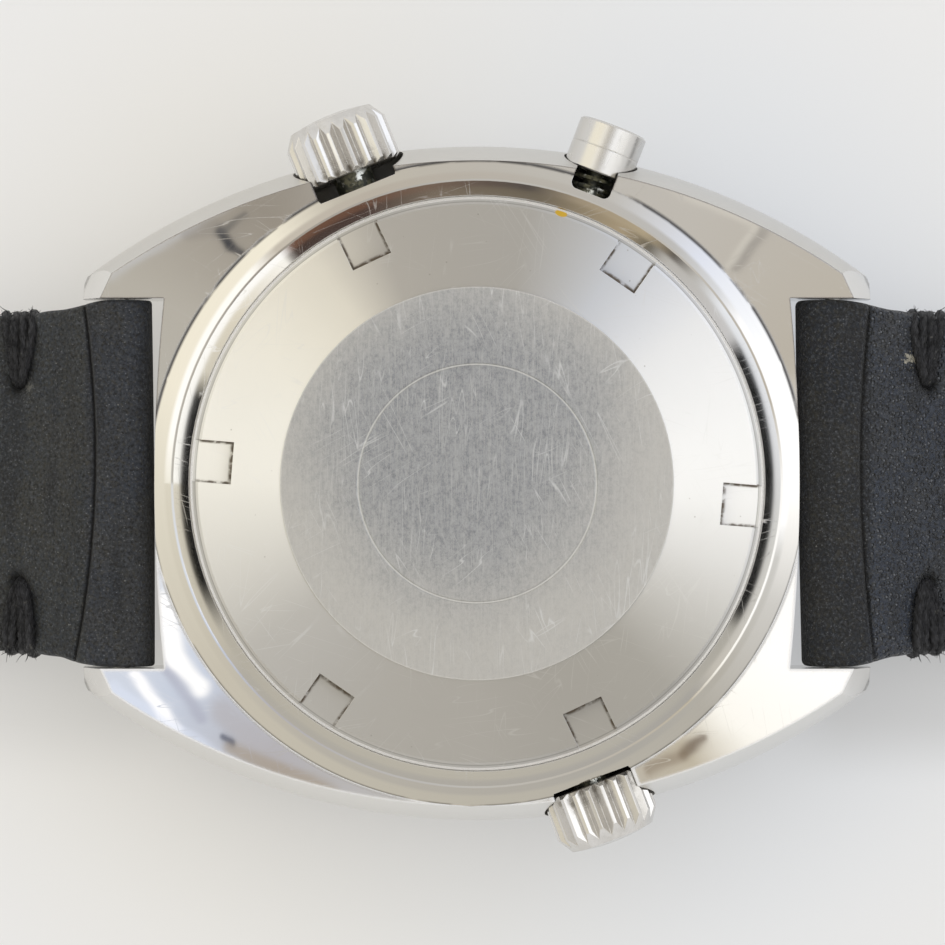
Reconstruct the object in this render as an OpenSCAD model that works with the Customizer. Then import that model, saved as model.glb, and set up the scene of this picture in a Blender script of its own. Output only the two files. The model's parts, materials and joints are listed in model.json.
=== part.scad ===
// Cushion-cased chronograph wristwatch on a leather strap, lying on its crystal.
// +X points to 12 o'clock, +Y to 3 o'clock and +Z out of the case back.
// The origin is on the watch's axis, in the outer face of the crystal.

/* [Case] */
// Width across the flanks at the widest line
case_w = 40.56; // [40:0.02:42]
// Length over the lug tips
lug_to_lug = 47.1; // [46.8:0.1:48.4]
// Gap between a pair of lugs
lug_gap = 22; // [21.4:0.1:22.4]
// Radius of a flank seen from above
flank_plan_r = 39; // [37:0.5:42]
// Radius of a flank's bulge from dial side to back
flank_bulge_r = 10.3; // [9:0.1:14]
// Height of the widest line above the crystal's face
widest_z = 5.5; // [4.5:0.1:6.5]
// Height of the polished back of the lugs at the watch's axis
lug_back_z = 10.15; // [9.9:0.05:10.3]
// Length of the arch that the lug backs follow, as a radius
lug_back_arch_r = 1100; // [300:50:2000]
// Radius of the dome that the dial side of the case follows
case_dome_r = 63.4; // [55:0.2:75]
// Radius of the rim's outer slope, seen in section
rim_r = 2.9; // [2.6:0.1:4]
// Radius of the rim's flat crest
rim_crest_r = 17.95; // [17.6:0.05:18.1]
// Height of the rim's crest above the crystal's face
rim_crest_z = 10.4; // [10.2:0.05:10.8]
// How far inside the tips the end facet begins, at the lug's inner wall
lug_facet_in = 1.15; // [0.6:0.05:2]
// Length of a lug's sloping end facet, square to its edge
lug_facet_l = 1.46; // [0.8:0.02:2]
// Turn of the end facet towards the flank
lug_facet_a = 25; // [0:1:40]
// Height that the end facet comes down
lug_facet_drop = 3.1; // [2:0.1:4]
// Bulge of the end wall between a pair of lugs
end_wall_bulge = 0.55; // [0.2:0.05:0.6]
// Radius of the bore that holds the movement
case_bore_r = 15.4; // [15.35:0.01:15.45]

/* [Case back] */
// Height of the case back's outer face above the crystal's face
back_z = 12.5; // [12.3:0.05:13.5]
// Radius of the case back
back_r = 16.8; // [16.6:0.05:16.9]
// Polished chamfer round the case back
back_chamfer = 0.37; // [0.1:0.01:0.6]
// Thickness of the case back's disc
back_t = 1.15; // [0.9:0.05:1.3]
// Radius of the brushed centre disc
back_disc_r = 11.59; // [9:0.1:13]
// Height of the centre disc over the satin ring round it
back_disc_step = 0.06; // [0.02:0.01:0.2]
// Radius of the engraved circle
engraved_r = 7.02; // [4:0.1:10]
// Width of the engraved circle
engraved_w = 0.14; // [0.08:0.01:0.4]
// Depth of the engraved circle
engraved_d = 0.06; // [0.03:0.01:0.2]
// Number of wrench notches
notches = 6; // [3:1:12]
// Width of a wrench notch
notch_w = 2.48; // [1.5:0.05:3]
// Radius at which a wrench notch begins
notch_in_r = 14.45; // [13:0.05:15.5]
// Depth of a wrench notch
notch_d = 0.55; // [0.3:0.05:0.8]
// Direction of the first notch, from 12 o'clock towards 3
notch_a = 55.3; // [0:0.1:59]

/* [Crystal and bezel] */
// Radius of the crystal
crystal_r = 15.2; // [15:0.05:15.4]
// Thickness of the crystal
crystal_t = 2; // [1.8:0.05:2.1]
// Chamfer round the crystal's outer face
crystal_chamfer = 0.35; // [0.1:0.05:0.6]
// How far the crystal stands proud of the bezel
crystal_proud = 0.8; // [0.4:0.05:1.1]
// Wall of the crystal's gasket
crystal_gasket_t = 0.4; // [0.3:0.02:0.5]
// Outer radius of the bezel
bezel_r = 18.6; // [18.2:0.05:18.8]
// Height of the bezel's slope
bezel_slope = 1.5; // [1:0.05:1.8]
// Radius of the case neck that the bezel is pressed on
neck_r = 17; // [16.6:0.05:17.4]
// Height of the bezel's seat above the crystal's face
bezel_seat_z = 3.2; // [3.1:0.05:3.4]

/* [Crowns and pusher] */
// Height of the crown and pusher axes above the crystal's face
axis_z = 7.9; // [7.8:0.02:7.96]
// Direction of the setting crown, from 12 o'clock towards 3
crown_a = 112; // [105:0.5:120]
// Direction of the crown of the inner bezel
bezel_crown_a = 291; // [285:0.5:300]
// Direction of the pusher
pusher_a = 68.9; // [60:0.1:75]
// Diameter of a crown
crown_d = 6.25; // [5.8:0.05:6.5]
// Length of a crown's fluted wall
crown_l = 3.3; // [2.8:0.05:3.6]
// Height of a crown's dome
crown_dome = 0.5; // [0.3:0.05:0.8]
// Number of flutes round a crown
crown_flutes = 22; // [16:1:26]
// Depth of a crown's flutes
flute_d = 0.36; // [0.2:0.02:0.45]
// How far inside the case's half width the setting crown's inner end lies
crown_in = 0.38; // [0.1:0.02:0.8]
// How far inside the case's half width the bezel crown's inner end lies
bezel_crown_in = 1.16; // [0.8:0.02:1.2]
// Clearance round a crown in its pocket
crown_gap = 0.17; // [0.1:0.01:0.3]
// How far inside the case's half width the floor of a crown's pocket lies
crown_pocket_in = 1.44; // [1.22:0.02:1.5]
// How far the crown pulls out to set the hands
crown_pull = 1; // [0.6:0.1:1.2]
// Diameter of the pusher's cap
pusher_d = 4.15; // [4:0.05:4.4]
// Length of the pusher's cap
pusher_l = 3; // [2.6:0.05:3.2]
// How far inside the case's half width the cap's inner end lies
pusher_in = 0.49; // [0.2:0.01:0.6]
// Distance of the fine line round the cap from its inner end
pusher_line_l = 1.46; // [1:0.02:2]
// Clearance round the pusher's cap in its pocket
pusher_gap = 0.12; // [0.08:0.01:0.3]
// Width of the slot that opens the pusher's pocket towards the back
pusher_slot_w = 2.43; // [2:0.01:2.8]
// Radius in the inner corners of that slot
pusher_slot_r = 0.4; // [0.2:0.05:0.8]
// How far inside the case's half width the floor of the pusher's pocket lies
pusher_pocket_in = 1.85; // [1.7:0.01:2.1]
// Travel of the pusher
pusher_travel = 1; // [0.6:0.1:1.2]
// Outer diameter of the tubes that the stems run in
tube_d = 2.4; // [2.2:0.05:2.6]
// Wire of the pusher's return spring
spring_wire = 0.24; // [0.2:0.02:0.26]
// Diameter of the stems
stem_d = 1.2; // [1:0.05:1.3]

/* [Inner bezel] */
// Teeth on the back edge of the inner bezel
bezel_teeth = 120; // [120:8:120]
// Teeth on the pinion that turns it
pinion_teeth = 15; // [15:1:15]
// Wall of the inner bezel's toothed skirt
skirt_t = 0.74; // [0.6:0.02:0.8]
// Height of a tooth above the pitch line
tooth_up = 0.2; // [0.15:0.01:0.22]
// Depth of a tooth below the pitch line
tooth_down = 0.32; // [0.3:0.01:0.4]

/* [Dial and hands] */
// Height of the dial's printed face above the crystal's face
dial_z = 4.6; // [4.55:0.01:4.65]
// Thickness of the dial
dial_t = 0.4; // [0.35:0.01:0.42]
// Radius of the dial
dial_r = 14.4; // [14.2:0.02:14.45]
// Length of the hour hand
hour_hand_l = 7.6; // [6:0.1:9]
// Length of the minute hand
minute_hand_l = 11.6; // [9:0.1:12.6]
// Length of the chronograph's seconds hand
seconds_hand_l = 12.8; // [10:0.1:13]
// Thickness of a hand
hand_t = 0.2; // [0.15:0.01:0.22]
// Distance from the dial's centre to the minute counter
counter_x = 6.6; // [6.4:0.1:7]
// Radius of the minute counter
counter_r = 3.6; // [3:0.1:4]

/* [Movement] */
// Radius of the mainplate's flange
plate_r = 13.6; // [13.55:0.01:13.62]
// Thickness of the mainplate
plate_t = 2.2; // [2.15:0.01:2.25]
// Height of the wheel space between the mainplate and the bridges
train_h = 1.95; // [1.92:0.01:1.98]
// Thickness of the bridges
bridge_t = 0.8; // [0.7:0.02:0.85]
// Radius of the oscillating weight
rotor_r = 13; // [11:0.1:13.2]
// Thickness of the oscillating weight's rim
rotor_t = 0.9; // [0.7:0.05:0.95]

/* [Strap] */
// Distance of a spring bar from the watch's axis
bar_x = 21.3; // [21.25:0.01:21.6]
// Diameter of a spring bar's barrel
bar_d = 1.8; // [1.5:0.05:1.9]
// Thickness of the strap where it is folded over the bar
fold_t = 3.9; // [3.6:0.02:3.92]
// Thickness of the strap at its thin end
strap_t = 2.4; // [2:0.1:2.8]
// Width of the strap at the lugs
strap_w = 21.7; // [21:0.05:21.75]
// Width of the strap at the buckle
strap_end_w = 18; // [17:0.1:19]
// Length of the buckle piece, from spring bar to buckle bar
short_l = 77; // [74:1:85]
// Length of the long piece, from spring bar to tip
long_l = 115; // [105:1:125]
// Number of holes in the long piece
strap_holes = 7; // [3:1:9]
// Diameter of the holes
strap_hole_d = 2.2; // [1.6:0.1:2.6]
// Pitch of the holes
strap_hole_pitch = 6.5; // [5:0.1:8]
// Distance of the thread bundles from the spring bar
stitch_x = 6.2; // [5.2:0.1:7]
// Width of a bundle of thread
stitch_w = 1.9; // [1.2:0.1:2.4]
// Length of the keepers along the strap
keeper_w = 5; // [4:0.1:6]
// Thickness of a keeper
keeper_t = 1; // [0.8:0.1:1.4]

/* [Buckle] */
// Distance from the buckle's bar to its end bar
buckle_l = 9; // [8:0.1:11]
// Diameter of the buckle's end bar
buckle_d = 1.8; // [1.6:0.1:2]
// Diameter of the tongue
tongue_d = 1; // [0.8:0.1:1.2]

/* [Hidden] */
$fn = 64;

// Fits, named once
run_gap = 0.06;
seat_gap = 0.02;
strap_gap = 0.08;
keeper_gap = 0.15;
eps = 0.01;

// Case
half_w = case_w / 2;
tip_x = lug_to_lug / 2;
flank_axis_y = flank_plan_r - half_w;
end_wall_x = 19.15;
end_wall_chord = lug_gap / 2 - 0.1;
end_wall_r = (pow(end_wall_chord, 2) + pow(end_wall_bulge, 2)) / (2 * end_wall_bulge);
case_top_z = crystal_t;
dome_edge_z = bezel_seat_z - 0.38;
dome_z = dome_edge_z - pow(bezel_r, 2) / (2 * case_dome_r);
ledge_t = 0.8;
ledge_r = 14.55;
thread_r = 15.9;
thread_z = 8.5;
ring_seat_z = 6.4;
ring_bore_r = case_bore_r + 0.2;
recess_r = back_r + 0.27;
recess_z = rim_crest_z - 0.5;
skirt_wall_in_r = 15.42;
gasket_in_r = 16.02;
gasket_w = 0.5;
gasket_t = 0.4;

// Tubes, crowns and stems
crown_in_r = half_w - crown_in;
bezel_crown_in_r = half_w - bezel_crown_in;
crown_pocket_in_r = half_w - crown_pocket_in;
pusher_in_r = half_w - pusher_in;
pusher_pocket_in_r = half_w - pusher_pocket_in;
crown_pocket_r = crown_d / 2 + crown_gap;
pusher_pocket_r = pusher_d / 2 + pusher_gap;
spring_in_r = tube_d / 2 + 0.1;
tube_bore_in_r = 14;
tube_in_r = stem_d / 2 + run_gap;
crown_recess_r = tube_d / 2 + 0.55;
crown_recess_l = 2.1;
tube_out_r = crown_in_r + 1.2;
bezel_tube_out_r = bezel_crown_in_r + 1.6;
stem_in_r = 5.5;
pinion_at_r = 8.2;
lever_r = 12.3;

// Inner bezel and its pinion
skirt_out_r = case_bore_r - run_gap;
skirt_in_r = skirt_out_r - skirt_t;
tooth_mean_r = (skirt_out_r + skirt_in_r) / 2;
tooth_pitch = 2 * PI * tooth_mean_r / bezel_teeth;
pinion_pitch_r = pinion_teeth * tooth_pitch / (2 * PI);
pitch_z = axis_z - pinion_pitch_r;

// Movement
dial_back_z = dial_z + dial_t;
plate_top_z = dial_back_z + plate_t;
bridge_z = plate_top_z + train_h;
bridge_top_z = bridge_z + bridge_t;
layer_h = 0.3;
ring_top_r = 14.9;
casing_r = 14.1;
casing_screw_r = 0.35;
casing_head_r = 0.75;
bridge_r = 12.85;
barrel_bridge_x = -0.8;
barrel_bridge_y = -8;
screw_ring_r = 12.4;
screw_head_r = 0.45;
layer = [for (i = [0:3]) plate_top_z + 0.15 + 0.45 * i];
arbor_r = 0.22;
pivot_gap = 0.05;
mesh_gap = 0.03;

// Going train: centre distances follow the teeth
barrel_m = 0.14;
barrel_n = 80;
centre_pinion_n = 10;
centre_m = 0.12;
centre_n = 75;
third_pinion_n = 10;
third_m = 0.1;
third_n = 80;
fourth_pinion_n = 10;
fourth_m = 0.09;
fourth_n = 80;
escape_pinion_n = 8;
escape_n = 15;
escape_r = 2.2;
barrel_a = 190;
third_a = 300;
fourth_a = 20;
escape_a = 75;
barrel_at = step([0, 0], barrel_a, distance(barrel_m, barrel_n, centre_pinion_n));
third_at = step([0, 0], third_a, distance(centre_m, centre_n, third_pinion_n));
fourth_at = step(third_at, fourth_a, distance(third_m, third_n, fourth_pinion_n));
escape_at = step(fourth_at, escape_a, distance(fourth_m, fourth_n, escape_pinion_n));
balance_at = [5.6, 6.6];
balance_r = 3.1;
pallet_from_escape = 2.65;
pallet_a = atan2(balance_at[1] - escape_at[1], balance_at[0] - escape_at[0]);
pallet_at = step(escape_at, pallet_a, pallet_from_escape);
column_at = [-0.2, 8.6];
column_r = 1.35;
columns = 6;

// Hour markers
marker_in_r = 10.2;
marker_l = 2.4;
marker_w = 0.8;
marker_t = 0.25;
twin_marker_w = 0.6;
twin_marker_gap = 0.3;

// Motion work under the dial
motion_m = 0.15;
cannon_n = 12;
minute_wheel_n = 36;
minute_pinion_n = 10;
hour_wheel_n = 40;
motion_a = 215;
motion_at = step([0, 0], motion_a, distance(motion_m, cannon_n, minute_wheel_n));
hour_m = 2 * (norm(motion_at) - mesh_gap) / (minute_pinion_n + hour_wheel_n);
seconds_r = 0.25;
centre_in_r = seconds_r + run_gap;
centre_r = 0.56;
cannon_in_r = centre_r + run_gap;
cannon_r = 0.84;
pipe_in_r = cannon_r + run_gap;
pipe_r = 1.15;
motion_room = 0.9;

// Strap
thread_t = 0.4;
stitch_reach = 2.6;
fold_r = fold_t / 2;
drape_l = 16.7;
drape_slope = -0.55;
flap_l = 2.6;
flap_step = 0.3;
taper_from = 3;
taper_to = 46;
lift = keeper_t + strap_t + 0.1;
lift_from = 29;
lift_to = 51;
buckle_bar_r = 0.75;
buckle_x = bar_x + short_l;
buckle_z = lift + strap_t / 2;
tongue_tip_l = 9.9;
tongue_tilt = asin((buckle_z - tongue_d / 2 - eps) / tongue_tip_l);
frame_tilt = tongue_tilt - asin((buckle_d / 2 + tongue_d / 2 + 0.05) / buckle_l);
keeper_from_buckle = 6.3;
keeper_apart = 10;
fixed_keeper_x = buckle_x - keeper_from_buckle;
sliding_keeper_x = fixed_keeper_x - keeper_apart;
buckle_in_w = strap_end_w + 0.4;
buckle_arm = 2;

function step(from, a, d) = [from[0] + d * cos(a), from[1] + d * sin(a)];
function distance(m, wheel, pinion) = m * (wheel + pinion) / 2 + mesh_gap;
function clamp01(u) = max(0, min(1, u));
function ease(u) = pow(clamp01(u), 2) * (3 - 2 * clamp01(u));
// Cubic from 1 to 0 that starts with a given slope and ends level
function settle(u, slope) = let (v = clamp01(u))
  2 * pow(v, 3) - 3 * pow(v, 2) + 1 + slope * (pow(v, 3) - 2 * pow(v, 2) + v);

// Places children on the axis of a crown or pusher: their +Z runs outwards
module on_axis(a, r) {
  rotate([0, 0, a]) translate([r, 0, axis_z]) rotate([0, 90, 0]) children();
}

module tube(r_out, r_in, h) {
  difference() {
    cylinder(r = r_out, h = h);
    translate([0, 0, -eps]) cylinder(r = r_in, h = h + 2 * eps);
  }
}

// Outline of a toothed wheel, with one tooth pointing along a
module wheel_2d(m, n, a) {
  polygon([
    for (i = [0:n - 1], k = [0:3])
      let (
        share = [-0.3, -0.1, 0.1, 0.3][k],
        r = m * n / 2 + (k == 1 || k == 2 ? 0.8 : -1.05) * m,
        t = a + (i + share) * 360 / n
      ) [r * cos(t), r * sin(t)]
  ]);
}

module arbor(z0, z1) {
  translate([0, 0, z0]) cylinder(r = arbor_r, h = z1 - z0);
}

// A spoked wheel: rim, hub and crossings
module spoked_2d(m, n, a, spokes = 4) {
  root = m * n / 2 - 1.05 * m;
  difference() {
    wheel_2d(m, n, a);
    circle(r = root - 0.35);
  }
  circle(r = 0.75);
  for (i = [0:spokes - 1]) rotate([0, 0, i * 360 / spokes])
    translate([0.5, -0.16]) square([root - 0.7, 0.32]);
}

// Case

module flank_solid(side) {
  translate([0, -side * flank_axis_y, 0]) rotate_extrude($fn = 128) intersection() {
    translate([0, case_top_z - 1]) square([flank_plan_r, rim_crest_z - case_top_z + 2]);
    union() {
      square([flank_plan_r - flank_bulge_r, 20]);
      translate([flank_plan_r - flank_bulge_r, widest_z]) circle(r = flank_bulge_r);
    }
  }
}

module back_form() {
  // Backs of the lugs, on a long arch
  rotate([90, 0, 0]) translate([0, lug_back_z - lug_back_arch_r, -half_w - 1])
    intersection() {
      cylinder(r = lug_back_arch_r, h = case_w + 2, $fn = 720);
      translate([-tip_x - 1, lug_back_arch_r - 12, 0]) cube([lug_to_lug + 2, 13, case_w + 2]);
    }
  // Rounded rim round the case back
  rotate_extrude($fn = 128) intersection() {
    square([rim_crest_r + rim_r, rim_crest_z + 1]);
    translate([0, 6]) union() {
      square([rim_crest_r, rim_crest_z - 6]);
      translate([rim_crest_r, rim_crest_z - 6 - rim_r]) circle(r = rim_r);
    }
  }
}

// What one lug's sloping end facet and slanted tip leave of the case
module lug_facet_side() {
  slope = lug_facet_drop / lug_facet_l;
  top = lug_back_z - pow(tip_x - lug_facet_in, 2) / (2 * lug_back_arch_r);
  translate([tip_x - lug_facet_in, lug_gap / 2, 0]) rotate([0, 0, lug_facet_a]) rotate([90, 0, 0])
    linear_extrude(height = 3 * case_w, center = true) polygon([
      [-2 * lug_to_lug, 0], [lug_facet_l, 0], [lug_facet_l, top - lug_facet_drop], [0, top],
      [-0.5, top + 0.5 * slope], [-2 * lug_to_lug, top + 0.5 * slope]
    ]);
}

// Side view of the lugs, with their four end facets
module lug_ends() {
  intersection() {
    rotate([90, 0, 0]) linear_extrude(height = case_w + 2, center = true) polygon([
      [0.35 - tip_x, 4.6], [tip_x - 0.35, 4.6], [tip_x, 5.6], [tip_x, lug_back_z + 0.02],
      [-tip_x, lug_back_z + 0.02], [-tip_x, 5.6]
    ]);
    lug_facet_side();
    mirror([0, 1, 0]) lug_facet_side();
    mirror([1, 0, 0]) lug_facet_side();
    mirror([1, 0, 0]) mirror([0, 1, 0]) lug_facet_side();
  }
}

module case_outside() {
  intersection() {
    flank_solid(1);
    flank_solid(-1);
    back_form();
    translate([0, 0, dome_z + case_dome_r]) sphere(r = case_dome_r, $fn = 256);
    union() {
      translate([0, 0, -1]) cylinder(r = bezel_r + 1.8, h = 14);
      lug_ends();
    }
  }
}

module strap_space(side) {
  mirror([side < 0 ? 1 : 0, 0, 0]) difference() {
    translate([end_wall_x - end_wall_bulge - 0.2, -lug_gap / 2, -1]) cube([8, lug_gap, 14]);
    translate([end_wall_x - end_wall_r, 0, -2]) cylinder(r = end_wall_r, h = 16, $fn = 360);
  }
}

// Slot from the pusher's pocket up through the back, with rounded inner corners
module pusher_slot() {
  side = pusher_slot_w / 2 - pusher_slot_r;
  rotate([0, 0, pusher_a]) translate([0, 0, axis_z]) linear_extrude(height = 6) hull() {
    for (y = [-side, side])
      translate([pusher_pocket_in_r + pusher_slot_r, y]) circle(r = pusher_slot_r);
    translate([half_w + 4, -pusher_slot_w / 2]) square([1, pusher_slot_w]);
  }
}

module middle_case() {
  color("silver") difference() {
    union() {
      difference() {
        case_outside();
        translate([0, 0, -1]) cylinder(r = bezel_r + 0.05, h = bezel_seat_z + 1);
      }
      translate([0, 0, case_top_z]) cylinder(r = neck_r, h = bezel_seat_z - case_top_z + 1);
    }
    // Bore from the dial side to the back
    rotate_extrude() polygon([
      [0, 0], [ledge_r, 0], [ledge_r, case_top_z + ledge_t], [case_bore_r, case_top_z + ledge_t],
      [case_bore_r, ring_seat_z], [ring_bore_r, ring_seat_z], [ring_bore_r, thread_z],
      [thread_r, thread_z], [thread_r, recess_z], [recess_r, recess_z], [recess_r, 14], [0, 14]
    ]);
    // Groove for the case back's gasket
    translate([0, 0, recess_z - gasket_t]) tube(gasket_in_r + gasket_w, gasket_in_r, gasket_t + 1);
    for (side = [-1, 1]) strap_space(side);
    // Pockets and tube bores of the crowns and the pusher
    on_axis(crown_a, crown_pocket_in_r) cylinder(r = crown_pocket_r, h = 6);
    on_axis(bezel_crown_a, crown_pocket_in_r) cylinder(r = crown_pocket_r, h = 6);
    on_axis(pusher_a, pusher_pocket_in_r) cylinder(r = pusher_pocket_r, h = 6);
    pusher_slot();
    for (a = [crown_a, bezel_crown_a, pusher_a])
      on_axis(a, tube_bore_in_r) cylinder(d = tube_d, h = half_w - tube_bore_in_r);
    // Blind holes for the spring bars
    for (s = [-1, 1]) translate([s * bar_x, 0, axis_z]) rotate([90, 0, 0])
      cylinder(r = 0.5, h = lug_gap + 2.6, center = true);
  }
}

module bezel() {
  color("lightgray") rotate_extrude() polygon([
    [crystal_r + crystal_gasket_t, crystal_proud], [crystal_r + crystal_gasket_t + 0.5, crystal_proud],
    [bezel_r - 0.3, crystal_proud + bezel_slope], [bezel_r, crystal_proud + bezel_slope + 0.3],
    [bezel_r, bezel_seat_z], [neck_r, bezel_seat_z], [neck_r, case_top_z],
    [crystal_r + crystal_gasket_t, case_top_z]
  ]);
}

module crystal() {
  color("lightcyan", 0.6) rotate_extrude() polygon([
    [0, 0], [crystal_r - crystal_chamfer, 0], [crystal_r, crystal_chamfer], [crystal_r, crystal_t],
    [0, crystal_t]
  ]);
}

module crystal_gasket() {
  color("ivory") translate([0, 0, crystal_proud])
    tube(crystal_r + crystal_gasket_t, crystal_r, crystal_t - crystal_proud);
}

module case_back() {
  face_z = back_z - back_disc_step;
  color("gainsboro") difference() {
    rotate_extrude() polygon([
      [0, back_z - back_t], [skirt_wall_in_r, back_z - back_t], [skirt_wall_in_r, thread_z + 0.05],
      [thread_r - seat_gap, thread_z + 0.05], [thread_r - seat_gap, recess_z + seat_gap],
      [back_r, recess_z + seat_gap], [back_r, face_z - back_chamfer], [back_r - back_chamfer, face_z],
      [back_disc_r, face_z], [back_disc_r, back_z], [0, back_z]
    ]);
    for (i = [0:notches - 1]) rotate([0, 0, notch_a + i * 360 / notches])
      translate([notch_in_r, -notch_w / 2, face_z - notch_d]) cube([4, notch_w, 2]);
    translate([0, 0, back_z - engraved_d]) tube(engraved_r + engraved_w / 2,
      engraved_r - engraved_w / 2, 1);
  }
}

module case_back_gasket() {
  color("black") translate([0, 0, recess_z - gasket_t])
    tube(gasket_in_r + gasket_w - seat_gap, gasket_in_r + seat_gap, gasket_t);
}

module stem_tube(a, r0, r1) {
  color("darkgray") on_axis(a, r0) tube(tube_d / 2, tube_in_r, r1 - r0);
}

module crown_tube() { stem_tube(crown_a, thread_r + 0.05, tube_out_r); }

module bezel_crown_tube() { stem_tube(bezel_crown_a, thread_r + 0.05, bezel_tube_out_r); }

module pusher_tube() { stem_tube(pusher_a, thread_r + 0.05, pusher_pocket_in_r + 0.55); }

module spring_bar(side) {
  color("darkgray") translate([side * bar_x, 0, axis_z]) rotate([90, 0, 0]) {
    cylinder(d = bar_d, h = lug_gap - 1.4, center = true);
    cylinder(r = 0.62, h = lug_gap - 0.5, center = true);
    cylinder(r = 0.5 - seat_gap, h = lug_gap + 2.2, center = true);
  }
}

module spring_bar_12() { spring_bar(1); }

module spring_bar_6() { spring_bar(-1); }

// Crowns

module crown_body() {
  difference() {
    intersection() {
      cylinder(d = crown_d, h = crown_l + crown_dome);
      // Domed end
      translate([0, 0, crown_l + crown_dome - 11]) sphere(r = 11, $fn = 96);
      // Chamfered inner end
      rotate_extrude() polygon([
        [0, 0], [crown_d / 2 - 0.25, 0], [crown_d / 2, 0.2], [crown_d / 2, 2.6],
        [crown_d / 2 - 0.75, crown_l + crown_dome], [0, crown_l + crown_dome]
      ]);
    }
    for (i = [0:crown_flutes - 1]) rotate([0, 0, i * 360 / crown_flutes])
      translate([crown_d / 2 - flute_d, 0, -eps]) rotate([0, 0, -45])
        cube([1, 1, crown_l + 0.2]);
    translate([0, 0, -eps]) cylinder(r = crown_recess_r, h = crown_recess_l + eps);
    cylinder(r = stem_d / 2, h = crown_recess_l + 0.8);
  }
}

module crown() { color("silver") on_axis(crown_a, crown_in_r) crown_body(); }

module bezel_crown() { color("silver") on_axis(bezel_crown_a, bezel_crown_in_r) crown_body(); }

module crown_gasket() {
  color("black") on_axis(crown_a, crown_in_r + 0.25)
    tube(crown_recess_r - seat_gap, tube_d / 2 + seat_gap, 0.6);
}

module winding_stem() {
  color("darkgray") on_axis(crown_a, 0) difference() {
    union() {
      translate([0, 0, stem_in_r]) cylinder(r = 0.4, h = 2);
      translate([0, 0, stem_in_r + 1.5]) cylinder(d = stem_d,
        h = crown_in_r + crown_recess_l + 0.75 - stem_in_r - 1.5);
    }
    // Groove that the setting lever holds
    translate([0, 0, lever_r - 0.3]) tube(1, 0.35, 0.6);
  }
}

module winding_pinion() {
  color("goldenrod") on_axis(crown_a, pinion_at_r) difference() {
    linear_extrude(height = 1.2) wheel_2d(0.16, 13, 0);
    translate([0, 0, -eps]) cylinder(r = stem_d / 2 + run_gap, h = 2);
  }
}

module setting_lever() {
  color("darkgray") on_axis(crown_a, lever_r - 0.22) difference() {
    translate([-1.15, -0.9, 0]) cube([1.9, 1.8, 0.44]);
    translate([0, 0, -eps]) cylinder(r = 0.35 + run_gap, h = 2);
    translate([0, -0.35 - run_gap, -eps]) cube([2, 0.7 + 2 * run_gap, 2]);
  }
}

module bezel_crown_stem() {
  color("darkgray") on_axis(bezel_crown_a, skirt_in_r - 0.3)
    cylinder(d = stem_d, h = bezel_crown_in_r + crown_recess_l + 0.75 - skirt_in_r + 0.3);
}

module bezel_pinion() {
  n = pinion_teeth;
  color("goldenrod") on_axis(bezel_crown_a, skirt_in_r - 0.1) difference() {
    linear_extrude(height = skirt_t - 0.04) polygon([
      for (i = [0:n - 1], k = [0:3])
        let (
          share = [-0.2, -0.08, 0.08, 0.2][k],
          r = pinion_pitch_r + (k == 1 || k == 2 ? tooth_up : -tooth_down),
          t = (i + 0.5 + share) * 360 / n
        ) [r * cos(t), r * sin(t)]
    ]);
    translate([0, 0, -eps]) cylinder(d = stem_d, h = 2);
  }
}

// Ring under the crystal, with a face gear on the back edge of its skirt
module inner_bezel() {
  ring_top = case_top_z + ledge_t + run_gap;
  root_z = pitch_z - tooth_down;
  color("goldenrod") {
    rotate_extrude() polygon([
      [skirt_in_r - 1.3, dial_z - 0.12], [skirt_in_r - 1.3, dial_z - 0.4], [skirt_in_r - 0.25, ring_top],
      [skirt_out_r, ring_top], [skirt_out_r, root_z], [skirt_in_r, root_z], [skirt_in_r, dial_z - 0.12]
    ]);
    for (i = [0:bezel_teeth - 1]) rotate([0, 0, bezel_crown_a + i * 360 / bezel_teeth])
      translate([skirt_in_r + 0.02, 0, root_z]) rotate([90, 0, 90])
        linear_extrude(height = skirt_t - 0.06) polygon([
          [-0.22 * tooth_pitch, -0.05], [0.22 * tooth_pitch, -0.05],
          [0.11 * tooth_pitch, tooth_down + tooth_up], [-0.11 * tooth_pitch, tooth_down + tooth_up]
        ]);
  }
}

// Pusher

module pusher_cap() {
  color("silver") on_axis(pusher_a, pusher_in_r) difference() {
    rotate_extrude() polygon([
      [0, 0], [pusher_d / 2 - 0.08, 0], [pusher_d / 2, 0.08], [pusher_d / 2, pusher_line_l],
      [pusher_d / 2 - 0.03, pusher_line_l + 0.03], [pusher_d / 2, pusher_line_l + 0.06],
      [pusher_d / 2, pusher_l - 0.12], [pusher_d / 2 - 0.15, pusher_l], [0, pusher_l]
    ]);
    translate([0, 0, -eps]) cylinder(r = spring_in_r + spring_wire + 0.08, h = 1.2);
    cylinder(d = stem_d, h = 2);
  }
}

module pusher_stem() {
  color("darkgray") on_axis(pusher_a, 0) {
    translate([0, 0, 12.9]) cylinder(r = 0.85, h = 0.5);
    translate([0, 0, 13.2]) cylinder(d = stem_d, h = pusher_in_r + 1.95 - 13.2);
  }
}

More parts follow.
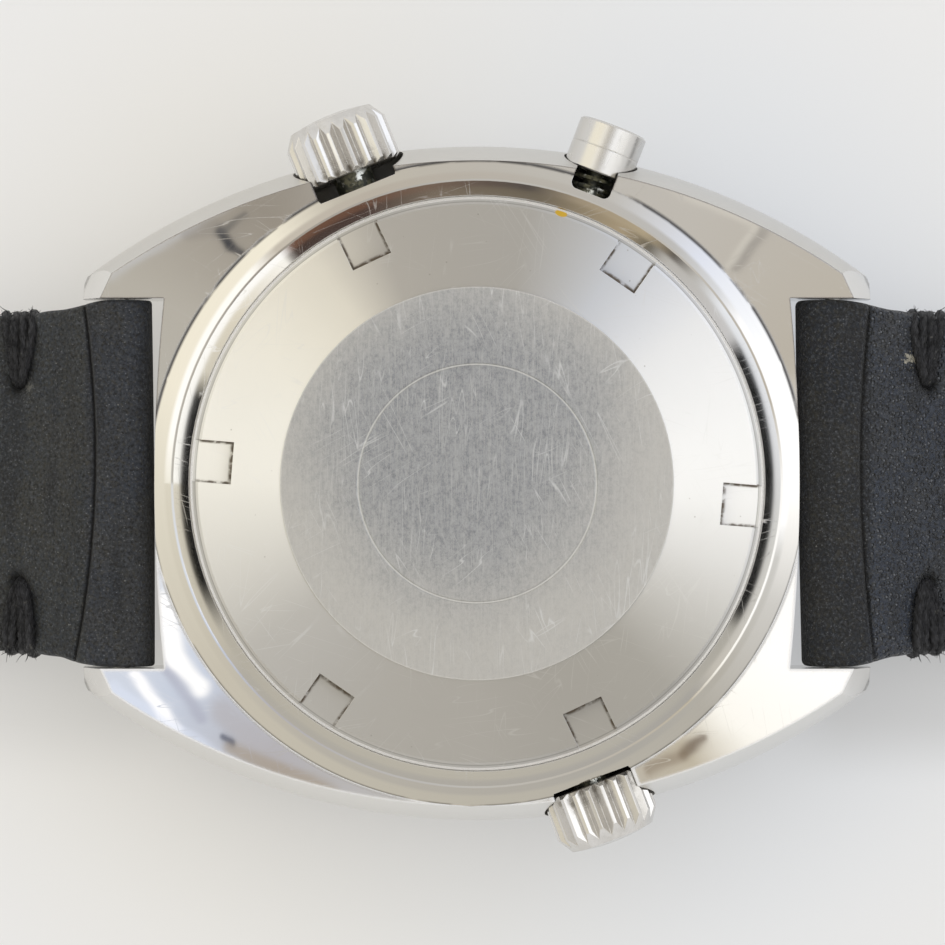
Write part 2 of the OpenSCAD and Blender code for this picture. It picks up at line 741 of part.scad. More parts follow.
// Rings of the return spring between the pocket's floor and the cap
module pusher_spring() {
  coil_r = spring_in_r + spring_wire / 2;
  from = pusher_pocket_in_r + 0.05 + spring_wire / 2;
  to = pusher_in_r + 1.15 - spring_wire / 2;
  turns = 4;
  steps = 12;
  sides = 6;
  count = turns * steps;
  points = [
    for (i = [0:count], j = [0:sides - 1])
      let (
        a = i * 360 / steps,
        b = j * 360 / sides,
        r = coil_r + cos(b) * spring_wire / 2
      ) [r * cos(a), r * sin(a), from + (to - from) * i / count + sin(b) * spring_wire / 2]
  ];
  faces = concat(
    [[for (j = [0:sides - 1]) j]],
    [[for (j = [sides - 1:-1:0]) count * sides + j]],
    [for (i = [0:count - 1], j = [0:sides - 1], h = [0, 1])
      let (
        p = i * sides + j,
        q = i * sides + (j + 1) % sides
      ) h == 0 ? [p, p + sides, q] : [q, p + sides, q + sides]]
  );
  color("darkgray") on_axis(pusher_a, 0) polyhedron(points = points, faces = faces);
}

// Dial side

module dial() {
  color("darkslategray") difference() {
    translate([0, 0, dial_z]) cylinder(r = dial_r, h = dial_t);
    translate([0, 0, dial_z - eps]) cylinder(r = pipe_r + 0.1, h = 1);
    translate([-counter_x, 0, dial_z - eps]) cylinder(r = counter_r, h = 0.1);
    translate([-counter_x, 0, dial_z - eps]) cylinder(r = arbor_r + 0.08, h = 1);
  }
}

// Applied batons, with a short one beside the counter and two at 12
module hour_markers() {
  half = twin_marker_w + twin_marker_gap / 2;
  color("white") translate([0, 0, dial_z - marker_t]) for (i = [0:11]) rotate([0, 0, i * 30]) {
    if (i == 0) for (y = [-half, half - twin_marker_w])
      translate([marker_in_r, y, 0]) cube([marker_l, twin_marker_w, marker_t]);
    else translate([i == 6 ? marker_in_r + marker_l / 2 : marker_in_r, -marker_w / 2, 0])
      cube([i == 6 ? marker_l / 2 : marker_l, marker_w, marker_t]);
  }
}

module hand(z, length, tail, w, hub, bore) {
  translate([0, 0, z]) difference() {
    union() {
      cylinder(r = hub, h = hand_t);
      linear_extrude(height = hand_t) polygon([
        [-tail, -w / 2], [-tail, w / 2], [length - w, w / 2], [length, 0], [length - w, -w / 2]
      ]);
    }
    translate([0, 0, -1]) cylinder(r = bore, h = 3);
  }
}

hour_hand_z = dial_z - 1.15;
minute_hand_z = hour_hand_z - 0.45;
seconds_hand_z = minute_hand_z - 0.45;

module hour_hand() {
  color("white") rotate([0, 0, 305]) hand(hour_hand_z, hour_hand_l, 1.7, 1, 1.6, pipe_r);
}

module hour_wheel() {
  color("goldenrod") difference() {
    union() {
      translate([0, 0, hour_hand_z]) cylinder(r = pipe_r, h = dial_back_z + 0.2 - hour_hand_z);
      translate([0, 0, dial_back_z + 0.08]) linear_extrude(height = 0.2)
        wheel_2d(hour_m, hour_wheel_n, motion_a);
    }
    cylinder(r = pipe_in_r, h = 12);
  }
}

module minute_hand() {
  color("white") rotate([0, 0, 60]) hand(minute_hand_z, minute_hand_l, 1.8, 0.9, 1.3, cannon_r);
}

module cannon_pinion() {
  color("goldenrod") difference() {
    union() {
      translate([0, 0, minute_hand_z]) cylinder(r = cannon_r, h = dial_back_z + 0.6 - minute_hand_z);
      translate([0, 0, dial_back_z + 0.35]) linear_extrude(height = 0.35)
        wheel_2d(motion_m, cannon_n, motion_a);
    }
    cylinder(r = cannon_in_r, h = 12);
  }
}

module minute_wheel() {
  color("goldenrod") translate([motion_at[0], motion_at[1], 0]) {
    translate([0, 0, dial_back_z + 0.4]) linear_extrude(height = 0.2)
      wheel_2d(motion_m, minute_wheel_n, motion_a + 180 + 180 / minute_wheel_n);
    translate([0, 0, dial_back_z + 0.05]) linear_extrude(height = 0.4)
      wheel_2d(hour_m, minute_pinion_n, motion_a + 180 + 180 / minute_pinion_n);
    arbor(dial_back_z + 0.05, dial_back_z + 1.2);
  }
}

module seconds_hand() {
  color("red") hand(seconds_hand_z, seconds_hand_l, 4, 0.5, 0.9, seconds_r);
}

module seconds_arbor() {
  color("darkgray") translate([0, 0, seconds_hand_z])
    cylinder(r = seconds_r, h = bridge_top_z - 0.05 - seconds_hand_z);
}

module counter_hand() {
  color("white") translate([-counter_x, 0, 0]) {
    hand(dial_z - 0.45, counter_r - 0.5, 0.8, 0.4, 0.5, 0.1);
    arbor(dial_z - 0.45, dial_back_z + 1);
  }
}

// Movement

module movement_ring() {
  color("peru") difference() {
    union() {
      translate([0, 0, ring_seat_z]) tube(ring_bore_r - seat_gap, plate_r - 0.35, 0.2);
      translate([0, 0, ring_seat_z]) tube(ring_bore_r - seat_gap, plate_r + seat_gap,
        plate_top_z - ring_seat_z);
      translate([0, 0, ring_seat_z]) tube(ring_bore_r - seat_gap, ring_top_r, thread_z - ring_seat_z);
    }
    // Ways for the stems, and room for the pinion
    on_axis(crown_a, 12) cylinder(r = stem_d / 2 + 0.2, h = 5);
    on_axis(pusher_a, 12) cylinder(r = 1.05, h = 5);
    on_axis(bezel_crown_a, 13) cylinder(r = pinion_pitch_r + tooth_up + 0.15, h = 4);
    for (a = casing_a) rotate([0, 0, a]) translate([casing_r + 0.05, 0, 5])
      cylinder(r = casing_screw_r, h = 4);
  }
}

casing_a = [15, 160, 235];

module casing_screws() {
  color("steelblue") for (a = casing_a) rotate([0, 0, a]) translate([casing_r, 0, 0]) difference() {
    union() {
      translate([0.05, 0, ring_seat_z + 0.1]) cylinder(r = casing_screw_r - seat_gap, h = 0.8);
      translate([0, 0, plate_top_z]) cylinder(r = casing_head_r, h = 0.3);
    }
    translate([-casing_head_r - 0.25, -0.1, plate_top_z + 0.18])
      cube([2 * casing_head_r + 0.5, 0.2, 1]);
  }
}

module pivot_hole(at, r = arbor_r) {
  translate([at[0], at[1], 0]) cylinder(r = r + pivot_gap, h = 14);
}

module mainplate() {
  color("lightgoldenrodyellow") difference() {
    union() {
      translate([0, 0, dial_back_z]) cylinder(r = plate_r - 0.45, h = plate_t);
      translate([0, 0, ring_seat_z + 0.2]) cylinder(r = plate_r, h = plate_top_z - ring_seat_z - 0.2);
    }
    cylinder(r = centre_r + run_gap, h = 14);
    // Recesses for the motion work
    translate([0, 0, dial_back_z - eps])
      cylinder(r = hour_m * hour_wheel_n / 2 + 0.35, h = motion_room);
    translate([motion_at[0], motion_at[1], dial_back_z - eps])
      cylinder(r = motion_m * minute_wheel_n / 2 + 0.35, h = motion_room);
    pivot_hole(motion_at);
    translate([-counter_x, 0, 0]) cylinder(r = arbor_r + pivot_gap, h = 8);
    // Channels for the pusher's stem, and for the winding stem and its pinion
    on_axis(pusher_a, 11.5) cylinder(r = 1, h = 4);
    on_axis(crown_a, 5) cylinder(r = stem_d / 2 + 0.12, h = 10);
    on_axis(crown_a, pinion_at_r - 0.2) cylinder(r = 1.4, h = 1.6);
    on_axis(crown_a, lever_r - 0.4) translate([-3, -1.1, 0]) cube([4, 2.2, 0.8 + crown_pull]);
    for (p = [third_at, fourth_at, escape_at, pallet_at, balance_at, barrel_at, column_at])
      pivot_hole(p);
  }
}

// A bridge: an outline inside the movement, on a foot at its outer edge
module bridge(foot_from, foot_to) {
  translate([0, 0, bridge_z]) linear_extrude(height = bridge_t) children();
  difference() {
    translate([0, 0, plate_top_z]) linear_extrude(height = train_h + 0.3) intersection() {
      circle(r = bridge_r);
      polygon([
        [0, 0], for (i = [0:8]) let (a = foot_from + i * (foot_to - foot_from) / 8)
          [20 * cos(a), 20 * sin(a)]
      ]);
    }
    cylinder(r = foot_in_r, h = 20);
  }
}

module bridge_holes(pivots) {
  for (p = pivots) pivot_hole(p);
  for (p = screw_at) translate([p[0], p[1], bridge_z - 0.8])
    cylinder(r = screw_r + seat_gap, h = 8);
}

module barrel_bridge() {
  color("gainsboro") difference() {
    bridge(121, 168) intersection() {
      circle(r = bridge_r);
      union() {
        translate([-bridge_r - 0.15, barrel_bridge_y])
          square([bridge_r + 0.15 + barrel_bridge_x, 20]);
        circle(r = 3);
      }
      rotate([0, 0, crown_a + 4]) translate([-20, 0]) square([40, 40]);
    }
    cylinder(r = seconds_r + run_gap, h = 14);
    bridge_holes([barrel_at]);
  }
}

module train_bridge() {
  color("gainsboro") difference() {
    bridge(272, 298) intersection() {
      circle(r = bridge_r);
      translate([0.2, -13]) square([13, 15.2]);
    }
    cylinder(r = 3.1, h = 14);
    bridge_holes([third_at, fourth_at, escape_at]);
  }
}

module balance_cock() {
  color("gainsboro") difference() {
    bridge(38, 52) intersection() {
      circle(r = bridge_r);
      union() {
        translate([balance_at[0], balance_at[1]]) circle(r = 1.5);
        rotate([0, 0, 45]) translate([8.2, -1.6]) square([5, 3.2]);
      }
    }
    bridge_holes([balance_at]);
  }
}

foot_in_r = 11.95;
screw_r = 0.3;
screw_at = [for (a = [126, 162, 276, 294, 45]) step([0, 0], a, screw_ring_r)];

module bridge_screws() {
  color("steelblue") for (p = screw_at) translate([p[0], p[1], bridge_z - 0.75]) difference() {
    union() {
      cylinder(r = screw_r, h = bridge_t + 0.8);
      translate([0, 0, bridge_t + 0.75]) cylinder(r = screw_head_r, h = 0.15);
    }
    translate([-screw_head_r - 0.05, -0.06, bridge_t + 0.82]) cube([2 * screw_head_r + 0.1, 0.12, 1]);
  }
}

module rotor_bearing() {
  color("darkgray") translate([0, 0, bridge_top_z]) {
    cylinder(r = 1.5, h = 0.15);
    cylinder(r = 1.1, h = 1);
    translate([0, 0, 0.9]) cylinder(r = 1.4, h = 0.12);
  }
}

module rotor() {
  z = bridge_top_z + 0.25;
  color("goldenrod") rotate([0, 0, 200]) difference() {
    union() {
      translate([0, 0, z]) linear_extrude(height = 0.35) difference() {
        intersection() {
          circle(r = rotor_r);
          translate([-rotor_r, 0]) square([2 * rotor_r, rotor_r]);
        }
        for (a = [55, 90, 125]) rotate([0, 0, a]) translate([7, 0]) circle(r = 1.7);
      }
      translate([0, 0, z]) linear_extrude(height = rotor_t) difference() {
        intersection() {
          circle(r = rotor_r);
          translate([-rotor_r, 0]) square([2 * rotor_r, rotor_r]);
        }
        circle(r = rotor_r - 2);
      }
      translate([0, 0, z]) cylinder(r = 2.3, h = 0.6);
    }
    translate([0, 0, z - 1]) cylinder(r = 1.1 + run_gap, h = 3);
  }
}

module barrel() {
  color("goldenrod") translate([barrel_at[0], barrel_at[1], 0]) {
    translate([0, 0, layer[0]]) cylinder(r = 5, h = layer[2] + layer_h - layer[0]);
    translate([0, 0, layer[0]]) linear_extrude(height = layer_h)
      wheel_2d(barrel_m, barrel_n, barrel_a + 180);
    arbor(plate_top_z - 0.6, bridge_top_z - 0.05);
  }
}

module centre_wheel() {
  color("goldenrod") difference() {
    union() {
      translate([0, 0, minute_hand_z + 0.05])
        cylinder(r = centre_r, h = layer[3] + layer_h - minute_hand_z - 0.05);
      translate([0, 0, layer[0]]) linear_extrude(height = layer_h + 0.05)
        wheel_2d(barrel_m, centre_pinion_n, barrel_a + 180 / centre_pinion_n);
      translate([0, 0, layer[3]]) linear_extrude(height = layer_h * 0.6)
        spoked_2d(centre_m, centre_n, third_a, 5);
    }
    cylinder(r = centre_in_r, h = 12);
  }
}

module third_wheel() {
  color("goldenrod") translate([third_at[0], third_at[1], 0]) {
    translate([0, 0, layer[1]]) linear_extrude(height = layer_h * 0.6)
      spoked_2d(third_m, third_n, fourth_a);
    translate([0, 0, layer[3] - 0.05]) linear_extrude(height = layer_h)
      wheel_2d(centre_m, third_pinion_n, third_a + 180 + 180 / third_pinion_n);
    arbor(plate_top_z - 0.6, bridge_top_z - 0.05);
  }
}

module fourth_wheel() {
  color("goldenrod") translate([fourth_at[0], fourth_at[1], 0]) {
    translate([0, 0, layer[2]]) linear_extrude(height = layer_h * 0.6)
      spoked_2d(fourth_m, fourth_n, escape_a);
    translate([0, 0, layer[1] - 0.05]) linear_extrude(height = layer_h)
      wheel_2d(third_m, fourth_pinion_n, fourth_a + 180 + 180 / fourth_pinion_n);
    arbor(plate_top_z - 0.6, bridge_top_z - 0.05);
  }
}

module escape_wheel() {
  color("silver") translate([escape_at[0], escape_at[1], 0]) {
    translate([0, 0, layer[0]]) linear_extrude(height = 0.2) {
      difference() {
        circle(r = escape_r - 0.55);
        circle(r = escape_r - 0.85);
      }
      circle(r = 0.5);
      for (i = [0:3]) rotate([0, 0, i * 90]) translate([0.3, -0.1]) square([escape_r - 1, 0.2]);
      for (i = [0:escape_n - 1]) rotate([0, 0, i * 360 / escape_n]) polygon([
        [escape_r - 0.65, -0.14], [escape_r, 0.2], [escape_r - 0.05, 0.36], [escape_r - 0.65, 0.14]
      ]);
    }
    translate([0, 0, layer[2] - 0.05]) linear_extrude(height = layer_h)
      wheel_2d(fourth_m, escape_pinion_n, escape_a + 180 + 180 / escape_pinion_n);
    arbor(plate_top_z - 0.6, bridge_top_z - 0.05);
  }
}

module pallet_fork() {
  reach = norm(balance_at - pallet_at) - 1.15;
  color("silver") translate([pallet_at[0], pallet_at[1], 0]) rotate([0, 0, pallet_a]) {
    translate([0, 0, layer[1]]) linear_extrude(height = 0.2) difference() {
      union() {
        circle(r = 0.45);
        translate([0, -0.15]) square([reach, 0.3]);
        translate([reach - 0.4, -0.35]) square([0.4, 0.7]);
        translate([-0.35, -1.7]) square([0.4, 3.4]);
      }
      translate([reach - 0.25, -0.15]) square([0.5, 0.3]);
    }
    arbor(plate_top_z - 0.6, layer[2]);
  }
}

module balance_wheel() {
  color("goldenrod") translate([balance_at[0], balance_at[1], 0]) {
    translate([0, 0, layer[2]]) linear_extrude(height = 0.35) {
      difference() {
        circle(r = balance_r);
        circle(r = balance_r - 0.45);
      }
      circle(r = 0.6);
      for (i = [0:2]) rotate([0, 0, i * 120 + 20]) translate([0.3, -0.2])
        square([balance_r - 0.5, 0.4]);
    }
    translate([0, 0, layer[0]]) cylinder(r = 0.8, h = 0.2);
    arbor(plate_top_z - 0.6, bridge_top_z - 0.05);
  }
}

// Flat spiral over the balance wheel
module hairspring() {
  turns = 4;
  steps = 18;
  w = 0.08;
  function arm(i, side) = let (
    a = i * 360 / steps,
    r = 0.55 + 0.38 * i / steps + side * w / 2
  ) [r * cos(a), r * sin(a)];
  color("steelblue") translate([balance_at[0], balance_at[1], layer[3] + 0.05])
    linear_extrude(height = 0.18) {
      polygon(concat(
        [for (i = [0:turns * steps]) arm(i, 1)], [for (i = [turns * steps:-1:0]) arm(i, -1)]
      ));
      difference() {
        circle(r = 0.6);
        circle(r = arbor_r);
      }
    }
}

module column_wheel() {
  color("steelblue") translate([column_at[0], column_at[1], 0]) {
    translate([0, 0, layer[0]]) linear_extrude(height = layer_h) wheel_2d(0.2, 12, 0);
    translate([0, 0, layer[0]]) cylinder(r = column_r * 0.72, h = 0.6);
    for (i = [0:columns - 1]) rotate([0, 0, i * 360 / columns])
      translate([column_r * 0.62, -0.18, layer[0]]) cube([0.42, 0.36, 1.5]);
    arbor(plate_top_z - 0.6, layer[3]);
  }
}

// Strap: side outline over its length from the spring bar, on the +X side

function strap_bottom(x, raised) =
  (axis_z - fold_r) * settle(x / drape_l, drape_slope * drape_l / (axis_z - fold_r))
  + raised * ease((x - lift_from) / (lift_to - lift_from));
function strap_slope(x, raised) =
  (strap_bottom(x + 0.05, raised) - strap_bottom(x - 0.05, raised)) / 0.1;
function strap_thick(x) =
  x < flap_l ? fold_t : strap_t + (fold_t - flap_step - strap_t) * (1 - ease((x - flap_l) / 40));
function strap_top(x, raised) =
  strap_bottom(x, raised) + strap_thick(x) * sqrt(1 + pow(strap_slope(x, raised), 2));
function strap_stations(length) = concat(
  [0, flap_l - eps, flap_l], [for (x = [4:1.5:19]) x], [for (x = [22:3:lift_to]) x], [lift_to, length]
);

module strap_side(length, raised, more = 0) {
  xs = strap_stations(length);
  translate([bar_x, 0]) polygon(concat(
    [for (x = xs) [x, strap_bottom(x, raised) - more]],
    [for (i = [len(xs) - 1:-1:0]) [xs[i], strap_top(xs[i], raised) + more]]
  ));
}

module strap_plan(length) {
  translate([bar_x, 0]) polygon([
    [-5, -strap_w / 2], [taper_from, -strap_w / 2], [taper_to, -strap_end_w / 2],
    [length, -strap_end_w / 2], [length, strap_end_w / 2], [taper_to, strap_end_w / 2],
    [taper_from, strap_w / 2], [-5, strap_w / 2]
  ]);
}

module strap_blank(length, raised) {
  intersection() {
    rotate([90, 0, 0]) linear_extrude(height = strap_w + 2, center = true) {
      strap_side(length, raised);
      translate([bar_x, axis_z]) circle(r = fold_r);
    }
    translate([0, 0, -1]) linear_extrude(height = 14) strap_plan(length + 3);
  }
}

module bar_hole() {
  translate([bar_x, 0, axis_z]) rotate([90, 0, 0])
    cylinder(r = bar_d / 2 + strap_gap, h = strap_w + 4, center = true);
}

module strap_12() {
  color("dimgray") difference() {
    union() {
      strap_blank(short_l, lift);
      translate([buckle_x, 0, buckle_z]) rotate([90, 0, 0])
        cylinder(r = strap_t / 2 + 0.35, h = strap_end_w, center = true);
    }
    bar_hole();
    translate([buckle_x, 0, buckle_z]) rotate([90, 0, 0])
      cylinder(r = buckle_bar_r + seat_gap, h = strap_w, center = true);
    // Slot for the tongue
    translate([buckle_x - 4, -1.4, buckle_z - 4]) cube([8, 2.8, 8]);
  }
}

// Bundles of thread wrapped over both edges of the strap
module stitches() {
  color("black") difference() {
    intersection() {
      rotate([90, 0, 0]) linear_extrude(height = strap_w + 2 * thread_t, center = true)
        strap_side(short_l, lift, thread_t);
      for (s = [-1, 1]) translate([bar_x + stitch_x, s * (strap_w / 2 - 1.6), axis_z - 2])
        cube([stitch_w, 2 * stitch_reach, 14], center = true);
    }
    rotate([90, 0, 0]) linear_extrude(height = strap_w, center = true) strap_side(short_l, lift);
  }
}

module stitches_12() { stitches(); }

module stitches_6() { mirror([1, 0, 0]) stitches(); }

module strap_6() {
  tip_r = strap_end_w / 2 + 3;
  color("dimgray") mirror([1, 0, 0]) difference() {
    intersection() {
      strap_blank(long_l, 0);
      union() {
        translate([bar_x - 5, -20, -1]) cube([long_l - tip_r + 8, 40, 16]);
        translate([bar_x + long_l - tip_r, 0, -1]) cylinder(r = tip_r, h = 16);
      }
    }
    bar_hole();
    for (i = [0:strap_holes - 1])
      translate([bar_x + long_l - 24 - i * strap_hole_pitch, 0, -1]) cylinder(d = strap_hole_d, h = 8);
  }
}

module keeper(x, side_gap, top_gap) {
  in_w = strap_end_w + 2 * side_gap;
  top = lift + strap_t + top_gap;
  color("dimgray") translate([x - keeper_w / 2, 0, 0]) difference() {
    translate([0, -in_w / 2 - keeper_t, 0]) cube([keeper_w, in_w + 2 * keeper_t, top + keeper_t]);
    translate([-1, -in_w / 2, keeper_t]) cube([keeper_w + 2, in_w, top - keeper_t]);
  }
}

module fixed_keeper() { keeper(fixed_keeper_x, 0, 0); }

module sliding_keeper() { keeper(sliding_keeper_x, keeper_gap, keeper_gap); }

// Buckle

module buckle_bar() {
  color("silver") translate([buckle_x, 0, buckle_z]) rotate([90, 0, 0])
    cylinder(r = buckle_bar_r, h = buckle_in_w + 2 * buckle_arm, center = true);
}

module buckle_frame() {
  color("silver") translate([buckle_x, 0, buckle_z]) rotate([0, frame_tilt, 0]) difference() {
    union() {
      for (s = [-1, 1]) translate([0, s * (buckle_in_w + buckle_arm) / 2, 0]) rotate([90, 0, 0])
        linear_extrude(height = buckle_arm, center = true) {
          circle(r = 1.3);
          translate([0, -buckle_d / 2]) square([buckle_l, buckle_d]);
          translate([buckle_l, 0]) circle(d = buckle_d);
        }
      translate([buckle_l, 0, 0]) rotate([90, 0, 0])
        cylinder(d = buckle_d, h = buckle_in_w + 2 * buckle_arm, center = true);
    }
    rotate([90, 0, 0]) cylinder(r = buckle_bar_r + run_gap, h = 40, center = true);
  }
}

module buckle_tongue() {
  color("silver") translate([buckle_x, 0, buckle_z]) rotate([0, tongue_tilt, 0]) difference() {
    union() {
      rotate([90, 0, 0]) cylinder(r = 1.25, h = 2.2, center = true);
      rotate([0, 90, 0]) cylinder(d = tongue_d, h = tongue_tip_l);
      translate([tongue_tip_l, 0, 0]) sphere(d = tongue_d);
    }
    rotate([90, 0, 0]) cylinder(r = buckle_bar_r + run_gap, h = 4, center = true);
  }
}

middle_case();
bezel();
crystal();
crystal_gasket();
case_back();
case_back_gasket();
crown_tube();
bezel_crown_tube();
pusher_tube();
spring_bar_12();
spring_bar_6();
movement_ring();
casing_screws();
mainplate();
barrel_bridge();
train_bridge();
balance_cock();
bridge_screws();
rotor_bearing();
dial();
hour_markers();
crown();
crown_gasket();
winding_stem();
winding_pinion();
setting_lever();
bezel_crown();
bezel_crown_stem();
bezel_pinion();
inner_bezel();
pusher_cap();
pusher_stem();
pusher_spring();
hour_hand();
hour_wheel();
minute_hand();
cannon_pinion();
minute_wheel();
seconds_hand();
seconds_arbor();
counter_hand();
barrel();
centre_wheel();
third_wheel();
fourth_wheel();
escape_wheel();
pallet_fork();
balance_wheel();
hairspring();
column_wheel();
rotor();
strap_12();
strap_6();
stitches_12();
stitches_6();
fixed_keeper();
sliding_keeper();
buckle_bar();
buckle_frame();
buckle_tongue();
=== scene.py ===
"""Looks of a steel chronograph watch on a leather strap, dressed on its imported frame.

Lengths are in millimetres unless a name ends in _m. Meshes and Blender are in metres. The watch lies
on its crystal: +X points to 12 o'clock, +Y to 3 o'clock and +Z out of the case back.
"""

import json
import logging
import math
from dataclasses import dataclass
from enum import Enum
from typing import Optional, Sequence, Union

import bmesh
import bpy
import numpy as np
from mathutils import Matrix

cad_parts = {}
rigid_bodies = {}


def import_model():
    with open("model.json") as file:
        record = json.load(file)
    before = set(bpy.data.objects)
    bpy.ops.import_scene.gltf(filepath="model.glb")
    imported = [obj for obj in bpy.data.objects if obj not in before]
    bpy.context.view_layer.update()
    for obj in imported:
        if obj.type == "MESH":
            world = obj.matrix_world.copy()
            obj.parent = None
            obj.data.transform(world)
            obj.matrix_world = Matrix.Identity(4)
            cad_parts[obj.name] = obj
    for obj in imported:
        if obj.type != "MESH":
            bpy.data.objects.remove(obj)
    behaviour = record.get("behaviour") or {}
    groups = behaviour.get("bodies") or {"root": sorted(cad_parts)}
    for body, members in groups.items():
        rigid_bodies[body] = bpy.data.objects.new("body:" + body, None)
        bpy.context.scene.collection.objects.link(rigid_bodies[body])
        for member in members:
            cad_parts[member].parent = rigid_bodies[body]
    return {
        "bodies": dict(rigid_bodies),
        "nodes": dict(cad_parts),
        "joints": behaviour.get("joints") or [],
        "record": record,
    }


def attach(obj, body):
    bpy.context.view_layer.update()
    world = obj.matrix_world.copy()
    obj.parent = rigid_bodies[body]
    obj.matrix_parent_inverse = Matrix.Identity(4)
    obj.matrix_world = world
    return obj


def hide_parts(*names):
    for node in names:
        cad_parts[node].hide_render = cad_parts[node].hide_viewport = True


MM = 0.001
LOG = logging.getLogger("watch")
Colour = tuple[float, float, float]
Place = tuple[float, float]
Stops = Sequence[tuple[float, Colour]]
Term = Union["Wire", float]
Value = Union["Wire", float, Sequence[float]]
Scale = Union[float, Sequence[float]]
Array = np.ndarray
Pair = tuple[Array, Array]
Trio = tuple[Array, Array, Array]
Material = bpy.types.Material
Mesh = bpy.types.Mesh
Object = bpy.types.Object


class Slot(Enum):
    """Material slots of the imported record."""

    SATIN = "steel_satin"
    POLISHED = "steel_polished"
    PLAIN = "steel_plain"
    GILT = "gilt_brass"
    NICKEL = "nickel_plate"
    BLUED = "blued_steel"
    GLASS = "mineral_glass"
    NYLON = "gasket_nylon"
    RUBBER = "gasket_rubber"
    DIAL = "dial_paint"
    HAND_WHITE = "hand_white"
    HAND_ORANGE = "hand_orange"
    BEZEL_PAINT = "bezel_paint"
    LEATHER = "strap_leather"
    THREAD = "thread_waxed"


class Wire:
    """An output socket of a material's node. Sums and products of wires add Math nodes."""

    def __init__(self, paint: "Paint", socket: bpy.types.NodeSocket) -> None:
        """Keeps the socket and the material that it belongs to."""
        self.paint = paint
        self.socket = socket

    def _math(self, operation: str, *terms: Term) -> "Wire":
        """Adds one Math node on the terms."""
        return self.paint.node("Math", {"operation": operation}, dict(enumerate(terms)))

    def __add__(self, other: Term) -> "Wire":
        """This plus other."""
        return self._math("ADD", self, other)

    def __radd__(self, other: Term) -> "Wire":
        """Other plus this."""
        return self._math("ADD", other, self)

    def __sub__(self, other: Term) -> "Wire":
        """This less other."""
        return self._math("SUBTRACT", self, other)

    def __rsub__(self, other: Term) -> "Wire":
        """Other less this."""
        return self._math("SUBTRACT", other, self)

    def __mul__(self, other: Term) -> "Wire":
        """This times other."""
        return self._math("MULTIPLY", self, other)

    def __truediv__(self, other: Term) -> "Wire":
        """This over other."""
        return self._math("DIVIDE", self, other)

    def __mod__(self, other: Term) -> "Wire":
        """The rest, always positive, of this over other."""
        return self._math("FLOORED_MODULO", self, other)

    def __abs__(self) -> "Wire":
        """This without its sign."""
        return self._math("ABSOLUTE", self)

    def least(self, other: Term) -> "Wire":
        """The smaller of this and other."""
        return self._math("MINIMUM", self, other)

    def most(self, other: Term) -> "Wire":
        """The larger of this and other."""
        return self._math("MAXIMUM", self, other)

    def sine(self) -> "Wire":
        """Sine of this, in radians."""
        return self._math("SINE", self)

    def angle_of(self, across: "Wire") -> "Wire":
        """The angle in radians of the point (across, this)."""
        return self._math("ARCTAN2", self, across)

    def root(self) -> "Wire":
        """Square root of this."""
        return self._math("SQRT", self)


